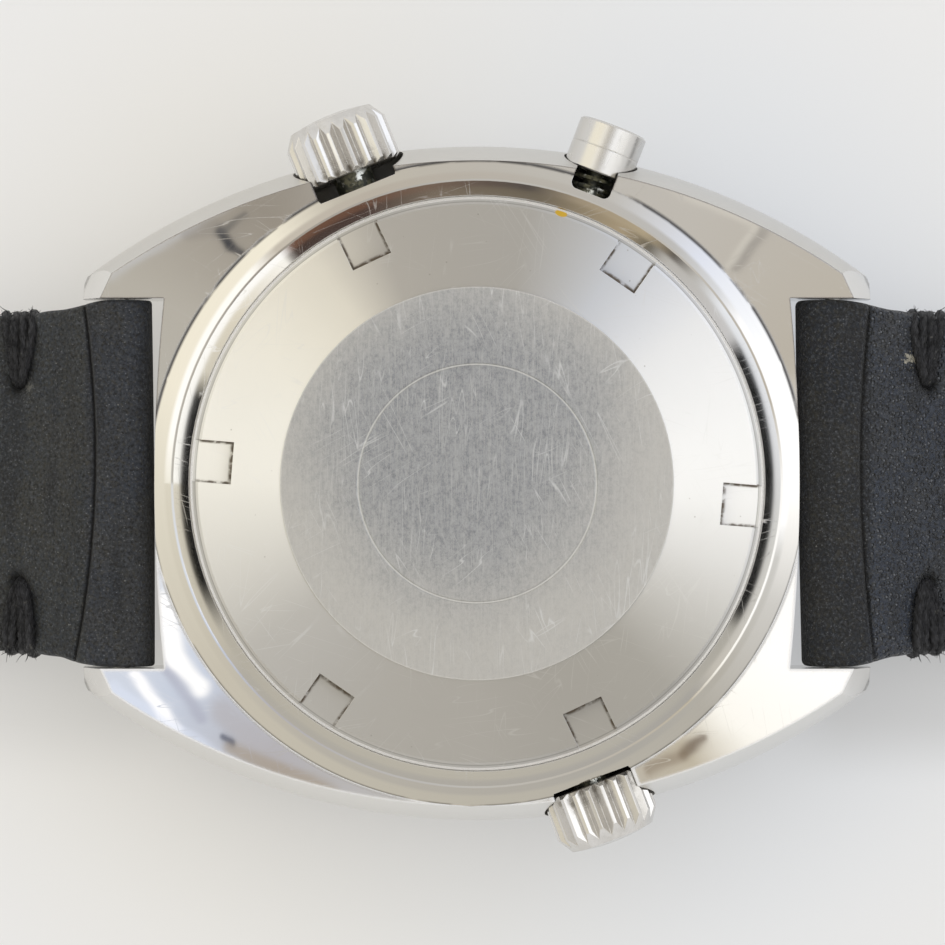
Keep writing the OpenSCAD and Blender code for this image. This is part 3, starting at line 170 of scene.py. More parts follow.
class Paint:
    """A material under construction: its node tree, and places on the piece in millimetres."""

    scratch_pitch: float = 0.9
    scratch_w: float = 0.035

    def __init__(self, name: str) -> None:
        """Starts an empty material.

        Args:
            name: the material's name.
        """
        self.material = bpy.data.materials.new(name)
        self.material.use_nodes = True
        self.tree = self.material.node_tree
        self.tree.nodes.clear()
        place = self.node("TexCoord", {}, {}, "Object")
        self.here = self.node("VectorMath", {"operation": "SCALE"}, {0: place, "Scale": 1 / MM})
        self.x, self.y, self.z = self.parts(self.here)

    def node(
        self,
        kind: str,
        settings: dict[str, object],
        values: dict[Union[int, str], Value],
        output: Union[int, str] = 0,
    ) -> Wire:
        """Adds a node.

        Args:
            kind: the node's type, after ShaderNode.
            settings: attributes to set first. Stops holds a colour ramp's (place, colour) pairs.
            values: numbers, colours or wires for its sockets, by name or number.
            output: the output that is returned.

        Returns:
            The output as a wire.
        """
        made = self.tree.nodes.new("ShaderNode" + kind)
        for key, setting in settings.items():
            if key == "stops":
                self._stops(made.color_ramp.elements, setting)
            else:
                setattr(made, key, setting)
        for key, value in values.items():
            self.feed(made.inputs[key], value)
        return Wire(self, made.outputs[output])

    @staticmethod
    def _stops(elements: bpy.types.bpy_prop_collection, stops: Stops) -> None:
        """Sets a colour ramp's elements.

        Args:
            elements: the ramp's elements.
            stops: their places and colours.
        """
        while len(elements) < len(stops):
            elements.new(1.0)
        for element, (place, colour) in zip(elements, stops):
            element.position = place
            element.color = (*colour, 1.0)

    def feed(self, socket: bpy.types.NodeSocket, value: Value) -> None:
        """Links a wire to a socket, or sets the socket's own value.

        Args:
            socket: an input socket.
            value: a wire, or a number, vector or colour.
        """
        if isinstance(value, Wire):
            self.tree.links.new(value.socket, socket)
        elif isinstance(value, (int, float)):
            socket.default_value = value
        elif socket.type == "RGBA" and len(value) == 3:
            socket.default_value = (*value, 1.0)
        else:
            socket.default_value = value

    def parts(self, vector: Wire) -> tuple[Wire, Wire, Wire]:
        """The numbers of a vector along X, Y and Z."""
        split = self.node("SeparateXYZ", {}, {0: vector})
        outputs = split.socket.node.outputs
        return Wire(self, outputs[0]), Wire(self, outputs[1]), Wire(self, outputs[2])

    def vector(self, x: Term, y: Term, z: Term) -> Wire:
        """A vector of three numbers."""
        return self.node("CombineXYZ", {}, {0: x, 1: y, 2: z})

    def away(self, x: float = 0.0, y: float = 0.0) -> Wire:
        """Distance in plan from the point (x, y)."""
        over_x = self.x - x
        over_y = self.y - y
        return (over_x * over_x + over_y * over_y).root()

    def turned(self, scale: Scale, turn: float = 0.0, place: Optional[Wire] = None) -> Wire:
        """The place, turned about Z by turn degrees and then stretched.

        Args:
            scale: pattern units in a millimetre, one number or one for each axis.
            turn: degrees about Z.
            place: the vector to turn, or None for the place on the piece.

        Returns:
            The turned and stretched vector.
        """
        values = {0: place or self.here, "Rotation": (0.0, 0.0, math.radians(turn))}
        spun = self.node("Mapping", {"vector_type": "POINT"}, values)
        each = (scale,) * 3 if isinstance(scale, float) else tuple(scale)
        return self.node("VectorMath", {"operation": "MULTIPLY"}, {0: spun, 1: each})

    def noise(self, vector: Wire, detail: float = 2.0, rough: float = 0.5, scale: float = 1.0) -> Wire:
        """Noise from 0 to 1, about 0.5.

        Args:
            vector: the place in the pattern.
            detail: number of finer layers.
            rough: strength of the finer layers.
            scale: stretches the pattern.

        Returns:
            The noise.
        """
        values = {"Vector": vector, "Scale": scale, "Detail": detail, "Roughness": rough}
        return self.node("TexNoise", {"noise_dimensions": "3D"}, values)

    def cloud(self, scale: Scale, detail: float, rough: float = 0.5, turn: float = 0.0) -> Wire:
        """Noise all over the piece, with the scale and turn of turned."""
        return self.noise(self.turned(scale, turn), detail, rough)

    def cells(self, scale: Scale, turn: float = 0.0, feature: str = "F1") -> Wire:
        """Distance to scattered points, or to the edges between their cells.

        Args:
            scale: pattern units in a millimetre.
            turn: degrees that the pattern is turned about Z.
            feature: the Voronoi texture's feature.

        Returns:
            The distance in pattern units.
        """
        values = {"Vector": self.turned(scale, turn), "Scale": 1.0}
        return self.node("TexVoronoi", {"feature": feature}, values)

    def between(self, value: Term, low: float, high: float) -> Wire:
        """A soft step: 0 below low, 1 above high. With low above high it runs the other way.

        Args:
            value: the number to test.
            low: where the step starts.
            high: where it ends.

        Returns:
            The step.
        """
        values = {
            "Value": value,
            "From Min": min(low, high),
            "From Max": max(low, high),
            "To Min": 0.0 if low < high else 1.0,
            "To Max": 1.0 if low < high else 0.0,
        }
        return self.node("MapRange", {"interpolation_type": "SMOOTHSTEP", "clamp": True}, values)

    def near(self, value: Wire, centre: float, width: float) -> Wire:
        """A soft line: 1 where value is centre, and 0 from width away."""
        return self.between(abs(value - centre), width, 0.0)

    def mix(self, factor: Term, first: Value, second: Value) -> Wire:
        """A colour that goes from first to second as factor goes from 0 to 1."""
        settings = {"data_type": "RGBA", "clamp_factor": True}
        return self.node("Mix", settings, {0: factor, 6: first, 7: second}, 2)

    def ramp(self, factor: Wire, stops: Stops) -> Wire:
        """A colour from a ramp of (place, colour) stops."""
        return self.node("ValToRGB", {"stops": stops}, {0: factor})

    def scratches(self, turns: Sequence[float], seed: float) -> Wire:
        """Random hairline scratches where stretched noise crosses its middle, thinned out by clouds.

        Args:
            turns: their directions, in degrees from +X.
            seed: shifts the pattern.

        Returns:
            1 on a scratch and 0 elsewhere.
        """
        total: Term = 0.0
        for index, turn in enumerate(turns):
            length = 9.0 + 2.0 * index
            shift = seed + 3.1 * index
            spot = self.turned((1 / length, 1 / self.scratch_pitch, 0.2), -turn)
            shifts = (shift, shift * 1.7, shift)
            moved = self.node("VectorMath", {"operation": "ADD"}, {0: spot, 1: shifts})
            lines = self.near(self.noise(moved, 1.0, 0.4), 0.5, self.scratch_w * 0.25)
            patch = self.noise(self.turned(0.25, turn), scale=1.0 + 0.13 * index)
            total = lines * self.between(patch, 0.5, 0.66) + total
        return total.least(1.0)

    def bump(self, height: Wire, depth: float, normal: Optional[Wire] = None) -> Wire:
        """A normal from a height.

        Args:
            height: the height, from 0 to 1.
            depth: how many millimetres a height of 1 stands for.
            normal: the normal to start from.

        Returns:
            The bent normal.
        """
        values = {"Height": height, "Distance": depth * MM, "Strength": 1.0}
        if normal is not None:
            values["Normal"] = normal
        return self.node("Bump", {}, values)

    def edges(self, radius: float) -> Wire:
        """A mask of sharp edges.

        Args:
            radius: how far in from an edge the mask reaches.

        Returns:
            About 0.01 to 0.3 at an edge, and 0 away from it.
        """
        plain = self.node("NewGeometry", {}, {}, "Normal")
        pair = {0: self.soft_edge(radius), 1: plain}
        return 1.0 - self.node("VectorMath", {"operation": "DOT_PRODUCT"}, pair, "Value")

    def soft_edge(self, radius: float) -> Wire:
        """The normal of a surface whose edges are rounded by a radius."""
        return self.node("Bevel", {"samples": 6}, {"Radius": radius * MM})

    def surface(self, **values: Value) -> Material:
        """Ends the material with a Principled shader.

        Args:
            values: its sockets by name, with underscores for spaces.

        Returns:
            The finished material.
        """
        named = {key.replace("_", " "): value for key, value in values.items()}
        return self.ended(self.node("BsdfPrincipled", {}, named))

    def ended(self, shader: Wire) -> Material:
        """Links a shader to the material's output.

        Args:
            shader: the shader.

        Returns:
            The finished material.
        """
        output = self.tree.nodes.new("ShaderNodeOutputMaterial")
        self.tree.links.new(shader.socket, output.inputs["Surface"])
        return self.material


def shade(colour: Colour, share: float) -> Colour:
    """A colour, or a place, times a share."""
    return tuple(share * part for part in colour)


@dataclass(frozen=True)
class PolishedSteel:
    """Polished steel with faint haze and hairline scratches."""

    name: str
    colour: Colour = (0.70, 0.688, 0.665)
    roughness: float = 0.1
    edge: float = 0.07

    def make(self) -> Material:
        """Builds the material.

        Returns:
            The material.
        """
        paint = Paint(self.name)
        lines = paint.scratches((14.0, 72.0, 128.0), 2.0)
        haze = paint.cloud(0.35, 4.0)
        smear = paint.cloud(0.9, 3.0, turn=30.0)
        rough = self.roughness + haze * 0.07 + lines * 0.12
        colour = paint.mix(smear * 0.5, self.colour, shade(self.colour, 0.9))
        normal = paint.bump(lines, -0.0004, paint.soft_edge(self.edge))
        return paint.surface(Base_Color=colour, Metallic=1.0, Roughness=rough, Normal=normal)


@dataclass(frozen=True)
class RimGroove:
    """The groove where the rim meets the lug backs, a circle that the arch draws out along X. Its
    darkening is partly grime and partly painted shade.
    """

    radius: float
    width: float
    bow: float = 0.00088

    def mask(self, paint: Paint) -> Wire:
        """1 in the groove and 0 from its width away."""
        return paint.near(paint.away() - paint.x * paint.x * self.bow, self.radius, self.width)


@dataclass(frozen=True)
class LugBackSteel:
    """Mirror polish of the lug backs, with grime and painted shade in the groove round the rim, a
    painted highlight along the sharp edges on the -Y side and a painted dark line along them on the +Y
    side.
    """

    name: str = "lug_back_polish"
    colour: Colour = (0.72, 0.705, 0.68)
    groove: RimGroove = RimGroove(19.17, 0.2)

    def make(self) -> Material:
        """Builds the material.

        Returns:
            The material.
        """
        paint = Paint(self.name)
        worn = paint.cloud(0.3, 3.0)
        upper = paint.between(paint.y, -1.0, 1.0)
        # The groove's darkening is partly grime and partly painted shade, stronger on the +Y side.
        groove = self.groove.mask(paint) * paint.between(worn, 0.3, 0.48) * (upper * 0.55 + 0.45)
        lines = paint.scratches((5.0, 38.0, 101.0, 150.0), 5.0)
        waves = paint.cloud((0.12, 0.2, 0.2), 2.0)
        haze = paint.cloud(0.5, 4.0)
        # Painted light along the lug backs' sharp edges: a bright, less metallic highlight on the -Y
        # side and a dark line of painted shade on the +Y side.
        edge_highlight = paint.between(paint.edges(0.32), 0.001, 0.012) * (1.0 - upper)
        line = edge_highlight.most(paint.between(paint.edges(0.15), 0.01, 0.035) * upper)
        rough = 0.012 + haze * 0.02 + lines * 0.1 + groove * 0.25 + line * 0.45
        stains_and_painted_light = paint.mix(groove * 0.9, self.colour, (0.055, 0.055, 0.06))
        light_tint = paint.mix(upper, (0.93, 0.94, 0.98), (0.12, 0.10, 0.09))
        stains_and_painted_light = paint.mix(line * 0.85, stains_and_painted_light, light_tint)
        normal = paint.bump(waves * 0.35 + lines * -0.005, 0.011, paint.soft_edge(0.1))
        metal = 1.0 - edge_highlight * 0.8
        return paint.surface(Base_Color=stains_and_painted_light, Metallic=metal, Roughness=rough, Normal=normal)


@dataclass(frozen=True)
class BrushedSteel:
    """Satin steel with fine grain along X, with painted light that makes it lighter and more neutral
    towards -Y.
    """

    name: str = "flank_satin"
    colour: Colour = (0.72, 0.708, 0.682)
    roughness: float = 0.3

    def make(self) -> Material:
        """Builds the material.

        Returns:
            The material.
        """
        paint = Paint(self.name)
        grain = paint.cloud((0.5, 14.0, 14.0), 3.0, 0.6)
        cloud = paint.cloud(0.4, 3.0)
        lines = paint.scratches((3.0, 60.0, 140.0), 9.0)
        rough = self.roughness + grain * 0.12 + cloud * 0.06
        normal = paint.bump(grain + lines * -0.4, 0.004, paint.soft_edge(0.09))
        tone = paint.mix(cloud * 0.6, self.colour, shade(self.colour, 0.93))
        # Painted light: lighter and more neutral towards -Y.
        tone = paint.mix(paint.between(paint.y, -4.0, -14.0), tone, (0.79, 0.785, 0.77))
        return paint.surface(Base_Color=tone, Metallic=1.0, Roughness=rough, Normal=normal)


@dataclass(frozen=True)
class RimSteel:
    """Polish of the rim round the case back: turned crest and bright slope."""

    name: str = "rim_polish"
    colour: Colour = (0.72, 0.705, 0.68)
    groove: RimGroove = RimGroove(19.16, 0.17)

    def make(self) -> Material:
        """Builds the material.

        Returns:
            The material.
        """
        paint = Paint(self.name)
        angle = paint.y.angle_of(paint.x)
        turning = paint.noise(paint.vector(paint.away() * 7.0, angle * 1.2, 0.0), 3.0)
        lines = paint.scratches((20.0, 95.0, 160.0), 12.0)
        haze = paint.cloud(0.6, 3.0)
        rough = 0.01 + haze * 0.01 + turning * 0.008 + lines * 0.05
        stains_and_painted_light = paint.mix(turning * 0.3, self.colour, (0.62, 0.605, 0.58))
        # The groove's darkening is partly grime and partly painted shade.
        groove = self.groove.mask(paint) * paint.between(haze, 0.3, 0.5)
        stains_and_painted_light = paint.mix(groove * 0.8, stains_and_painted_light, (0.07, 0.07, 0.072))
        normal = paint.soft_edge(0.05)
        return paint.surface(Base_Color=stains_and_painted_light, Metallic=1.0, Roughness=rough, Normal=normal)


@dataclass(frozen=True)
class CaseBackSteel:
    """Case back: a turned satin ring with grimy notches and painted reflections, or its brushed and
    mottled centre disc with a painted reflection in its middle.
    """

    name: str = "case_back"
    disc_r: float = 11.59
    back_r: float = 16.8
    band_r: float = 16.6
    chamfer: float = 0.37
    face_z: float = 12.44
    circle_r: float = 7.02
    notch_in_r: float = 14.45
    notch_w: float = 2.48
    notch_a: float = 55.3
    notches: int = 6
    dot_a: float = 72.7
    dot_at_r: float = 16.66

    def ring(self) -> Material:
        """Builds the ring's material. The face is dished by 0.05 mm for each millimetre of radius. Its
        colour carries a painted reflection, bright and dark sectors round the axis, and painted light on
        the outer edge wall in the gap round it.

        Returns:
            The material.
        """
        paint = Paint(self.name + "_ring")
        radius = paint.away()
        angle = paint.y.angle_of(paint.x)
        grain = paint.noise(paint.vector(radius * 13.0, angle * 3.0, 0.0), 4.0, 0.65)
        lines = paint.scratches((8.0, 47.0, 83.0, 122.0, 161.0), 15.0)
        cloud = paint.cloud(0.16, 4.0)
        spots = paint.between(paint.cells(0.9), 0.06, 0.02)
        grime = self._grime(paint, radius, angle)
        dot = self._dot(paint)
        # Painted reflection: bright and dark sectors by angle round the axis, as the turned finish would
        # mirror the room.
        painted_fan_reflection = paint.ramp(
            angle * (0.5 / math.pi) + 0.5,
            [
                (0.0, (0.95, 0.93, 0.87)),
                (0.10, (0.64, 0.62, 0.58)),
                (0.25, (0.66, 0.645, 0.62)),
                (0.37, (0.54, 0.53, 0.51)),
                (0.45, (0.88, 0.88, 0.88)),
                (0.49, (1.0, 1.0, 1.0)),
                (0.60, (1.0, 1.0, 1.0)),
                (0.66, (0.83, 0.86, 0.92)),
                (0.72, (0.62, 0.605, 0.58)),
                (0.81, (0.66, 0.64, 0.61)),
                (0.85, (1.0, 0.97, 0.89)),
                (0.95, (0.99, 0.97, 0.91)),
                (1.0, (0.95, 0.93, 0.87)),
            ],
        )
        tone = paint.mix(cloud * 0.16, painted_fan_reflection, (0.62, 0.61, 0.59))
        # Painted light: the outer edge wall, down in the gap round the case back, is made pale.
        hidden = paint.between(radius, self.back_r - 0.08, self.back_r - 0.02)
        band = paint.between(radius, self.band_r - 0.04, self.band_r + 0.04)
        tone = paint.mix(band * 0.75, tone, (0.60, 0.59, 0.57))
        tone = paint.mix(paint.near(radius, self.band_r, 0.05) * 0.5, tone, (0.22, 0.21, 0.19))
        tone = paint.mix(hidden, tone, (0.90, 0.89, 0.87))
        tone = paint.mix(lines * 0.35, tone, (0.86, 0.86, 0.85))
        tone = paint.mix(spots * 0.4, tone, (0.25, 0.22, 0.18))
        tone = paint.mix(grime * 0.9, tone, (0.12, 0.085, 0.05))
        tone = paint.mix(dot, tone, (0.60, 0.37, 0.02))
        rough = 0.4 + grain * 0.08 + grime * 0.3
        normal = paint.bump(grain * 0.002 - radius * 0.05, 1.0, paint.soft_edge(0.06))
        return paint.surface(
            Base_Color=tone,
            Metallic=1.0 - (grime * 0.8).most(dot),
            Roughness=rough,
            Normal=normal,
            Anisotropic=0.95,
            Anisotropic_Rotation=0.25,
        )

    def disc(self) -> Material:
        """Builds the disc's material: grain along Y, dark mottling, scratches, a cut circle, and a
        painted reflection that makes it darker and bluer near the middle.

        Returns:
            The material.
        """
        paint = Paint(self.name + "_disc")
        radius = paint.away()
        grain = paint.cloud((11.0, 0.5, 1.0), 5.0, 0.7)
        lines = paint.scratches((84.0, 90.0, 97.0, 118.0), 15.0)
        long_lines = paint.scratches((30.0, 86.0), 23.0)
        mottle = paint.cloud((4.6, 2.9, 1.0), 8.0, 0.9)
        cloud = paint.cloud(0.2, 3.0)
        # Painted reflection of the dark camera overhead: darker and bluer round a point near the middle,
        # with the dark mottling stronger there.
        middle = paint.between(paint.away(-0.8, 2.6) + cloud * 4.0, 14.5, 6.5)
        dark = paint.between(mottle, 0.42, 0.64)
        tone = paint.mix(middle, (0.57, 0.56, 0.54), (0.405, 0.413, 0.43))
        tone = paint.mix(dark * (middle * 0.75 + 0.15), tone, (0.22, 0.23, 0.25))
        tone = paint.mix(paint.between(grain, 0.42, 0.72) * 0.35, tone, (0.62, 0.62, 0.61))
        tone = paint.mix(lines.most(long_lines) * 0.5, tone, (0.78, 0.79, 0.80))
        tone = paint.mix(paint.near(radius, self.circle_r, 0.1) * 0.6, tone, (0.82, 0.82, 0.8))
        tone = paint.mix(paint.near(radius, self.disc_r, 0.11) * 0.5, tone, (0.85, 0.84, 0.82))
        rough = 0.32 + grain * 0.12 + dark * 0.08
        normal = paint.bump(grain * 1.2 - lines * 0.3, 0.0035, paint.soft_edge(0.06))
        return paint.surface(Base_Color=tone, Metallic=1.0, Roughness=rough, Normal=normal)

    def _grime(self, paint: Paint, radius: Wire, angle: Wire) -> Wire:
        """Brown grime at the walls of the notches, which repeat round the case back.

        Args:
            paint: the material.
            radius: distance from the axis.
            angle: angle round the axis in radians.

        Returns:
            1 where the grime is thick and 0 on bare steel.
        """
        pitch = 2 * math.pi / self.notches
        local = (angle + (pitch * 1.5 + 2 * math.pi - math.radians(self.notch_a))) % pitch - pitch / 2
        across = abs(local.sine() * radius)
        half = self.notch_w / 2
        notch = paint.between(across, half + 0.09, half + 0.05)
        notch = notch * paint.between(paint.z, self.face_z - 0.02, self.face_z - 0.12)
        notch = notch * paint.between(radius, self.back_r - 0.1, self.back_r - self.chamfer)
        wall = paint.between(across, half - 0.2, half - 0.02)
        end = paint.between(radius, self.notch_in_r + 0.3, self.notch_in_r + 0.06)
        cloud = paint.cloud(1.6, 4.0, 0.6)
        return (wall.most(end) * 1.5 * paint.between(cloud, 0.34, 0.62) * notch).least(1.0)

    def _dot(self, paint: Paint) -> Wire:
        """A small speck of yellow paint on the edge.

        Args:
            paint: the material.

        Returns:
            1 on the speck and 0 elsewhere.
        """
        turn = math.radians(self.dot_a)
        along = paint.y * math.cos(turn) - paint.x * math.sin(turn)
        out = paint.x * math.cos(turn) + paint.y * math.sin(turn) - self.dot_at_r
        away = (along * along * 0.4 + out * out * 1.4).root()
        return paint.between(away, 0.27, 0.2)


@dataclass(frozen=True)
class CrownSteel:
    """Polished crown with grime in its flutes and at its inner end."""

    name: str
    turn: float
    inner_r: float
    axis_z: float = 7.9
    crown_r: float = 3.125
    flute_d: float = 0.36

    def make(self) -> Material:
        """Builds the material.

        Returns:
            The material.
        """
        paint = Paint(self.name)
        turn = math.radians(self.turn)
        along = paint.x * math.cos(turn) + paint.y * math.sin(turn)
        side = paint.y * math.cos(turn) - paint.x * math.sin(turn)
        up = paint.z - self.axis_z
        out = (side * side + up * up).root()
        in_flute = paint.between(out, self.crown_r - 0.06, self.crown_r - self.flute_d)
        inner = paint.between(along, self.inner_r + 1.5, self.inner_r + 0.1)
        cloud = paint.cloud(1.3, 4.0, 0.6)
        held = paint.between(cloud, 0.34, 0.64)
        grime = (in_flute * (inner * 0.8 + 0.1) * held + inner * 0.1).least(1.0)
        lines = paint.scratches((self.turn, self.turn + 80.0), 4.0)
        rough = 0.12 + cloud * 0.08 + lines * 0.12 + grime * 0.4
        tone = paint.mix(grime, (0.73, 0.715, 0.69), (0.10, 0.08, 0.055))
        normal = paint.bump(lines, -0.0005, paint.soft_edge(0.06))
        metal = 1.0 - grime * 0.7
        return paint.surface(Base_Color=tone, Metallic=metal, Roughness=rough, Normal=normal)


@dataclass(frozen=True)
class PlainMetal:
    """Machined metal that mostly lies hidden: fine turning and light stains."""

    name: str
    colour: Colour
    roughness: float = 0.28
    striped: float = 0.0

    def make(self) -> Material:
        """Builds the material.

        Returns:
            The material.
        """
        paint = Paint(self.name)
        grain = paint.cloud(6.0, 4.0, 0.6)
        cloud = paint.cloud(0.5, 3.0)
        stripe = (paint.x * 2.1 + paint.y * 2.1).sine() * 0.5 + 0.5
        rough = self.roughness + grain * 0.1 + cloud * 0.05 + stripe * self.striped * 0.15
        dim = shade(self.colour, 0.86)
        tone = paint.mix(cloud * 0.7 + stripe * self.striped * 0.3, self.colour, dim)
        normal = paint.bump(grain, 0.003)
        return paint.surface(Base_Color=tone, Metallic=1.0, Roughness=rough, Normal=normal)


@dataclass(frozen=True)
class OilyShadedSteel:
    """Steel of the tubes in the pockets under crowns and pusher: dark tones that are partly old oil and
    partly painted shade of the pockets, and a few bright spots.
    """

    name: str
    oil_and_shade: Colour = (0.042, 0.045, 0.034)
    bare: Colour = (0.74, 0.75, 0.70)

    def make(self) -> Material:
        """Builds the material.

        Returns:
            The material.
        """
        paint = Paint(self.name)
        patch = paint.cloud(1.3, 4.0, 0.7, turn=20.0)
        olive = paint.cloud(2.6, 3.0, 0.6)
        clean = paint.between(patch, 0.53, 0.62)
        # The dark tones are partly old oil and partly painted shade of the pockets.
        tone = paint.mix(paint.between(olive, 0.45, 0.62), self.oil_and_shade, (0.16, 0.155, 0.10))
        tone = paint.mix(clean, tone, self.bare)
        rough = 0.32 + olive * 0.2 - clean * 0.15
        metal = clean * 0.6 + 0.35
        return paint.surface(
            Base_Color=tone, Metallic=metal, Roughness=rough, Normal=paint.bump(patch, 0.02)
        )


@dataclass(frozen=True)
class Enamel:
    """Matt paint with a fine orange-peel surface and light dust."""

    name: str
    colour: Colour
    roughness: float = 0.45

    def make(self) -> Material:
        """Builds the material.

        Returns:
            The material.
        """
        paint = Paint(self.name)
        peel = paint.cloud(9.0, 2.0)
        dust = paint.between(paint.cells(3.0), 0.12, 0.02)
        tone = paint.mix(dust * 0.25, self.colour, (0.6, 0.6, 0.58))
        rough = self.roughness + peel * 0.12
        return paint.surface(Base_Color=tone, Roughness=rough, Normal=paint.bump(peel, 0.003))


@dataclass(frozen=True)
class DialPaint:
    """Matt dark dial with a printed seconds track and a counter's track, both plain."""

    name: str = "dial_matt"
    track_r: float = 13.85
    counter_x: float = -6.6
    counter_r: float = 3.6

    def make(self) -> Material:
        """Builds the material.

        Returns:
            The material.
        """
        paint = Paint(self.name)
        whole = self.track(paint, 0.0, 6.0, 12.95, self.track_r, 0.055)
        fifths = self.track(paint, 0.0, 1.2, 13.45, self.track_r, 0.03)
        fine = self.track(paint, self.counter_x, 12.0, 2.75, 3.3, 0.045)
        counter_out = paint.away(self.counter_x)
        ring = paint.near(counter_out, self.counter_r - 0.12, 0.08)
        print_mask = whole.most(fifths).most(fine).most(ring * 0.8)
        sink = paint.between(counter_out, self.counter_r + 0.02, self.counter_r - 0.02)
        grain = paint.cloud(12.0, 2.0)
        rings = paint.noise(paint.vector(counter_out * 9.0, 0.0, 0.0), 1.0)
        ground = paint.mix(sink, (0.018, 0.024, 0.032), (0.05, 0.056, 0.064))
        tone = paint.mix(print_mask, ground, (0.82, 0.82, 0.78))
        rough = 0.42 + grain * 0.15 - sink * 0.1
        normal = paint.bump(grain * 0.6 + rings * sink, 0.004)
        return paint.surface(Base_Color=tone, Roughness=rough, Normal=normal)

    @staticmethod
    def track(
        paint: Paint, centre_x: float, pitch: float, inner: float, outer: float, half: float
    ) -> Wire:
        """Ticks of a round scale.

        Args:
            paint: the material.
            centre_x: place of the scale's centre along X.
            pitch: degrees from tick to tick.
            inner: radius at which the ticks start.
            outer: radius at which the ticks end.
            half: half the width of a tick.

        Returns:
            1 on a tick and 0 elsewhere.
        """
        radius = paint.away(centre_x)
        angle = paint.y.angle_of(paint.x - centre_x)
        step = math.radians(pitch)
        local = abs((angle + (4 * math.pi + step / 2)) % step - step / 2) * radius
        line = paint.between(local, half + 0.015, half - 0.015)
        line = line * paint.between(radius, inner - 0.02, inner + 0.02)
        return line * paint.between(radius, outer, outer - 0.04)


@dataclass(frozen=True)
class BezelPaint:
    """Dark inner bezel with a plain scale of minutes and a pale block at its start."""

    name: str = "inner_bezel_paint"
    track_r: float = 14.6

    def make(self) -> Material:
        """Builds the material.

        Returns:
            The material.
        """
        paint = Paint(self.name)
        minutes = DialPaint.track(paint, 0.0, 6.0, 13.75, self.track_r, 0.07)
        fives = DialPaint.track(paint, 0.0, 30.0, 13.35, self.track_r, 0.16)
        start = paint.between(abs(paint.y), 0.62, 0.56) * paint.between(paint.x, 13.3, 13.4)
        rest = paint.between(paint.away(), self.track_r + 0.1, self.track_r)
        marks = minutes.most(fives).most(start) * rest
        peel = paint.cloud(9.0, 2.0)
        tone = paint.mix(marks, (0.022, 0.03, 0.045), (0.84, 0.83, 0.78))
        rough = 0.38 + peel * 0.12
        return paint.surface(Base_Color=tone, Roughness=rough, Normal=paint.bump(peel, 0.003))


@dataclass(frozen=True)
class Crystal:
    """Clear mineral glass."""

    name: str = "crystal_glass"

    def make(self) -> Material:
        """Builds the material.

        Returns:
            The material.
        """
        paint = Paint(self.name)
        smear = paint.cloud(0.4, 4.0)
        rough = 0.004 + smear * 0.02
        return paint.surface(
            Base_Color=(0.97, 0.985, 0.99), Roughness=rough, IOR=1.5, Transmission_Weight=1.0
        )


@dataclass(frozen=True)
class Moulded:
    """Moulded nylon or rubber of a gasket."""

    name: str
    colour: Colour
    roughness: float = 0.5

    def make(self) -> Material:
        """Builds the material.

        Returns:
            The material.
        """
        paint = Paint(self.name)
        grain = paint.cloud(7.0, 3.0)
        tone = paint.mix(grain * 0.4, self.colour, shade(self.colour, 0.8))
        rough = self.roughness + grain * 0.15
        return paint.surface(Base_Color=tone, Roughness=rough, Normal=paint.bump(grain, 0.004))


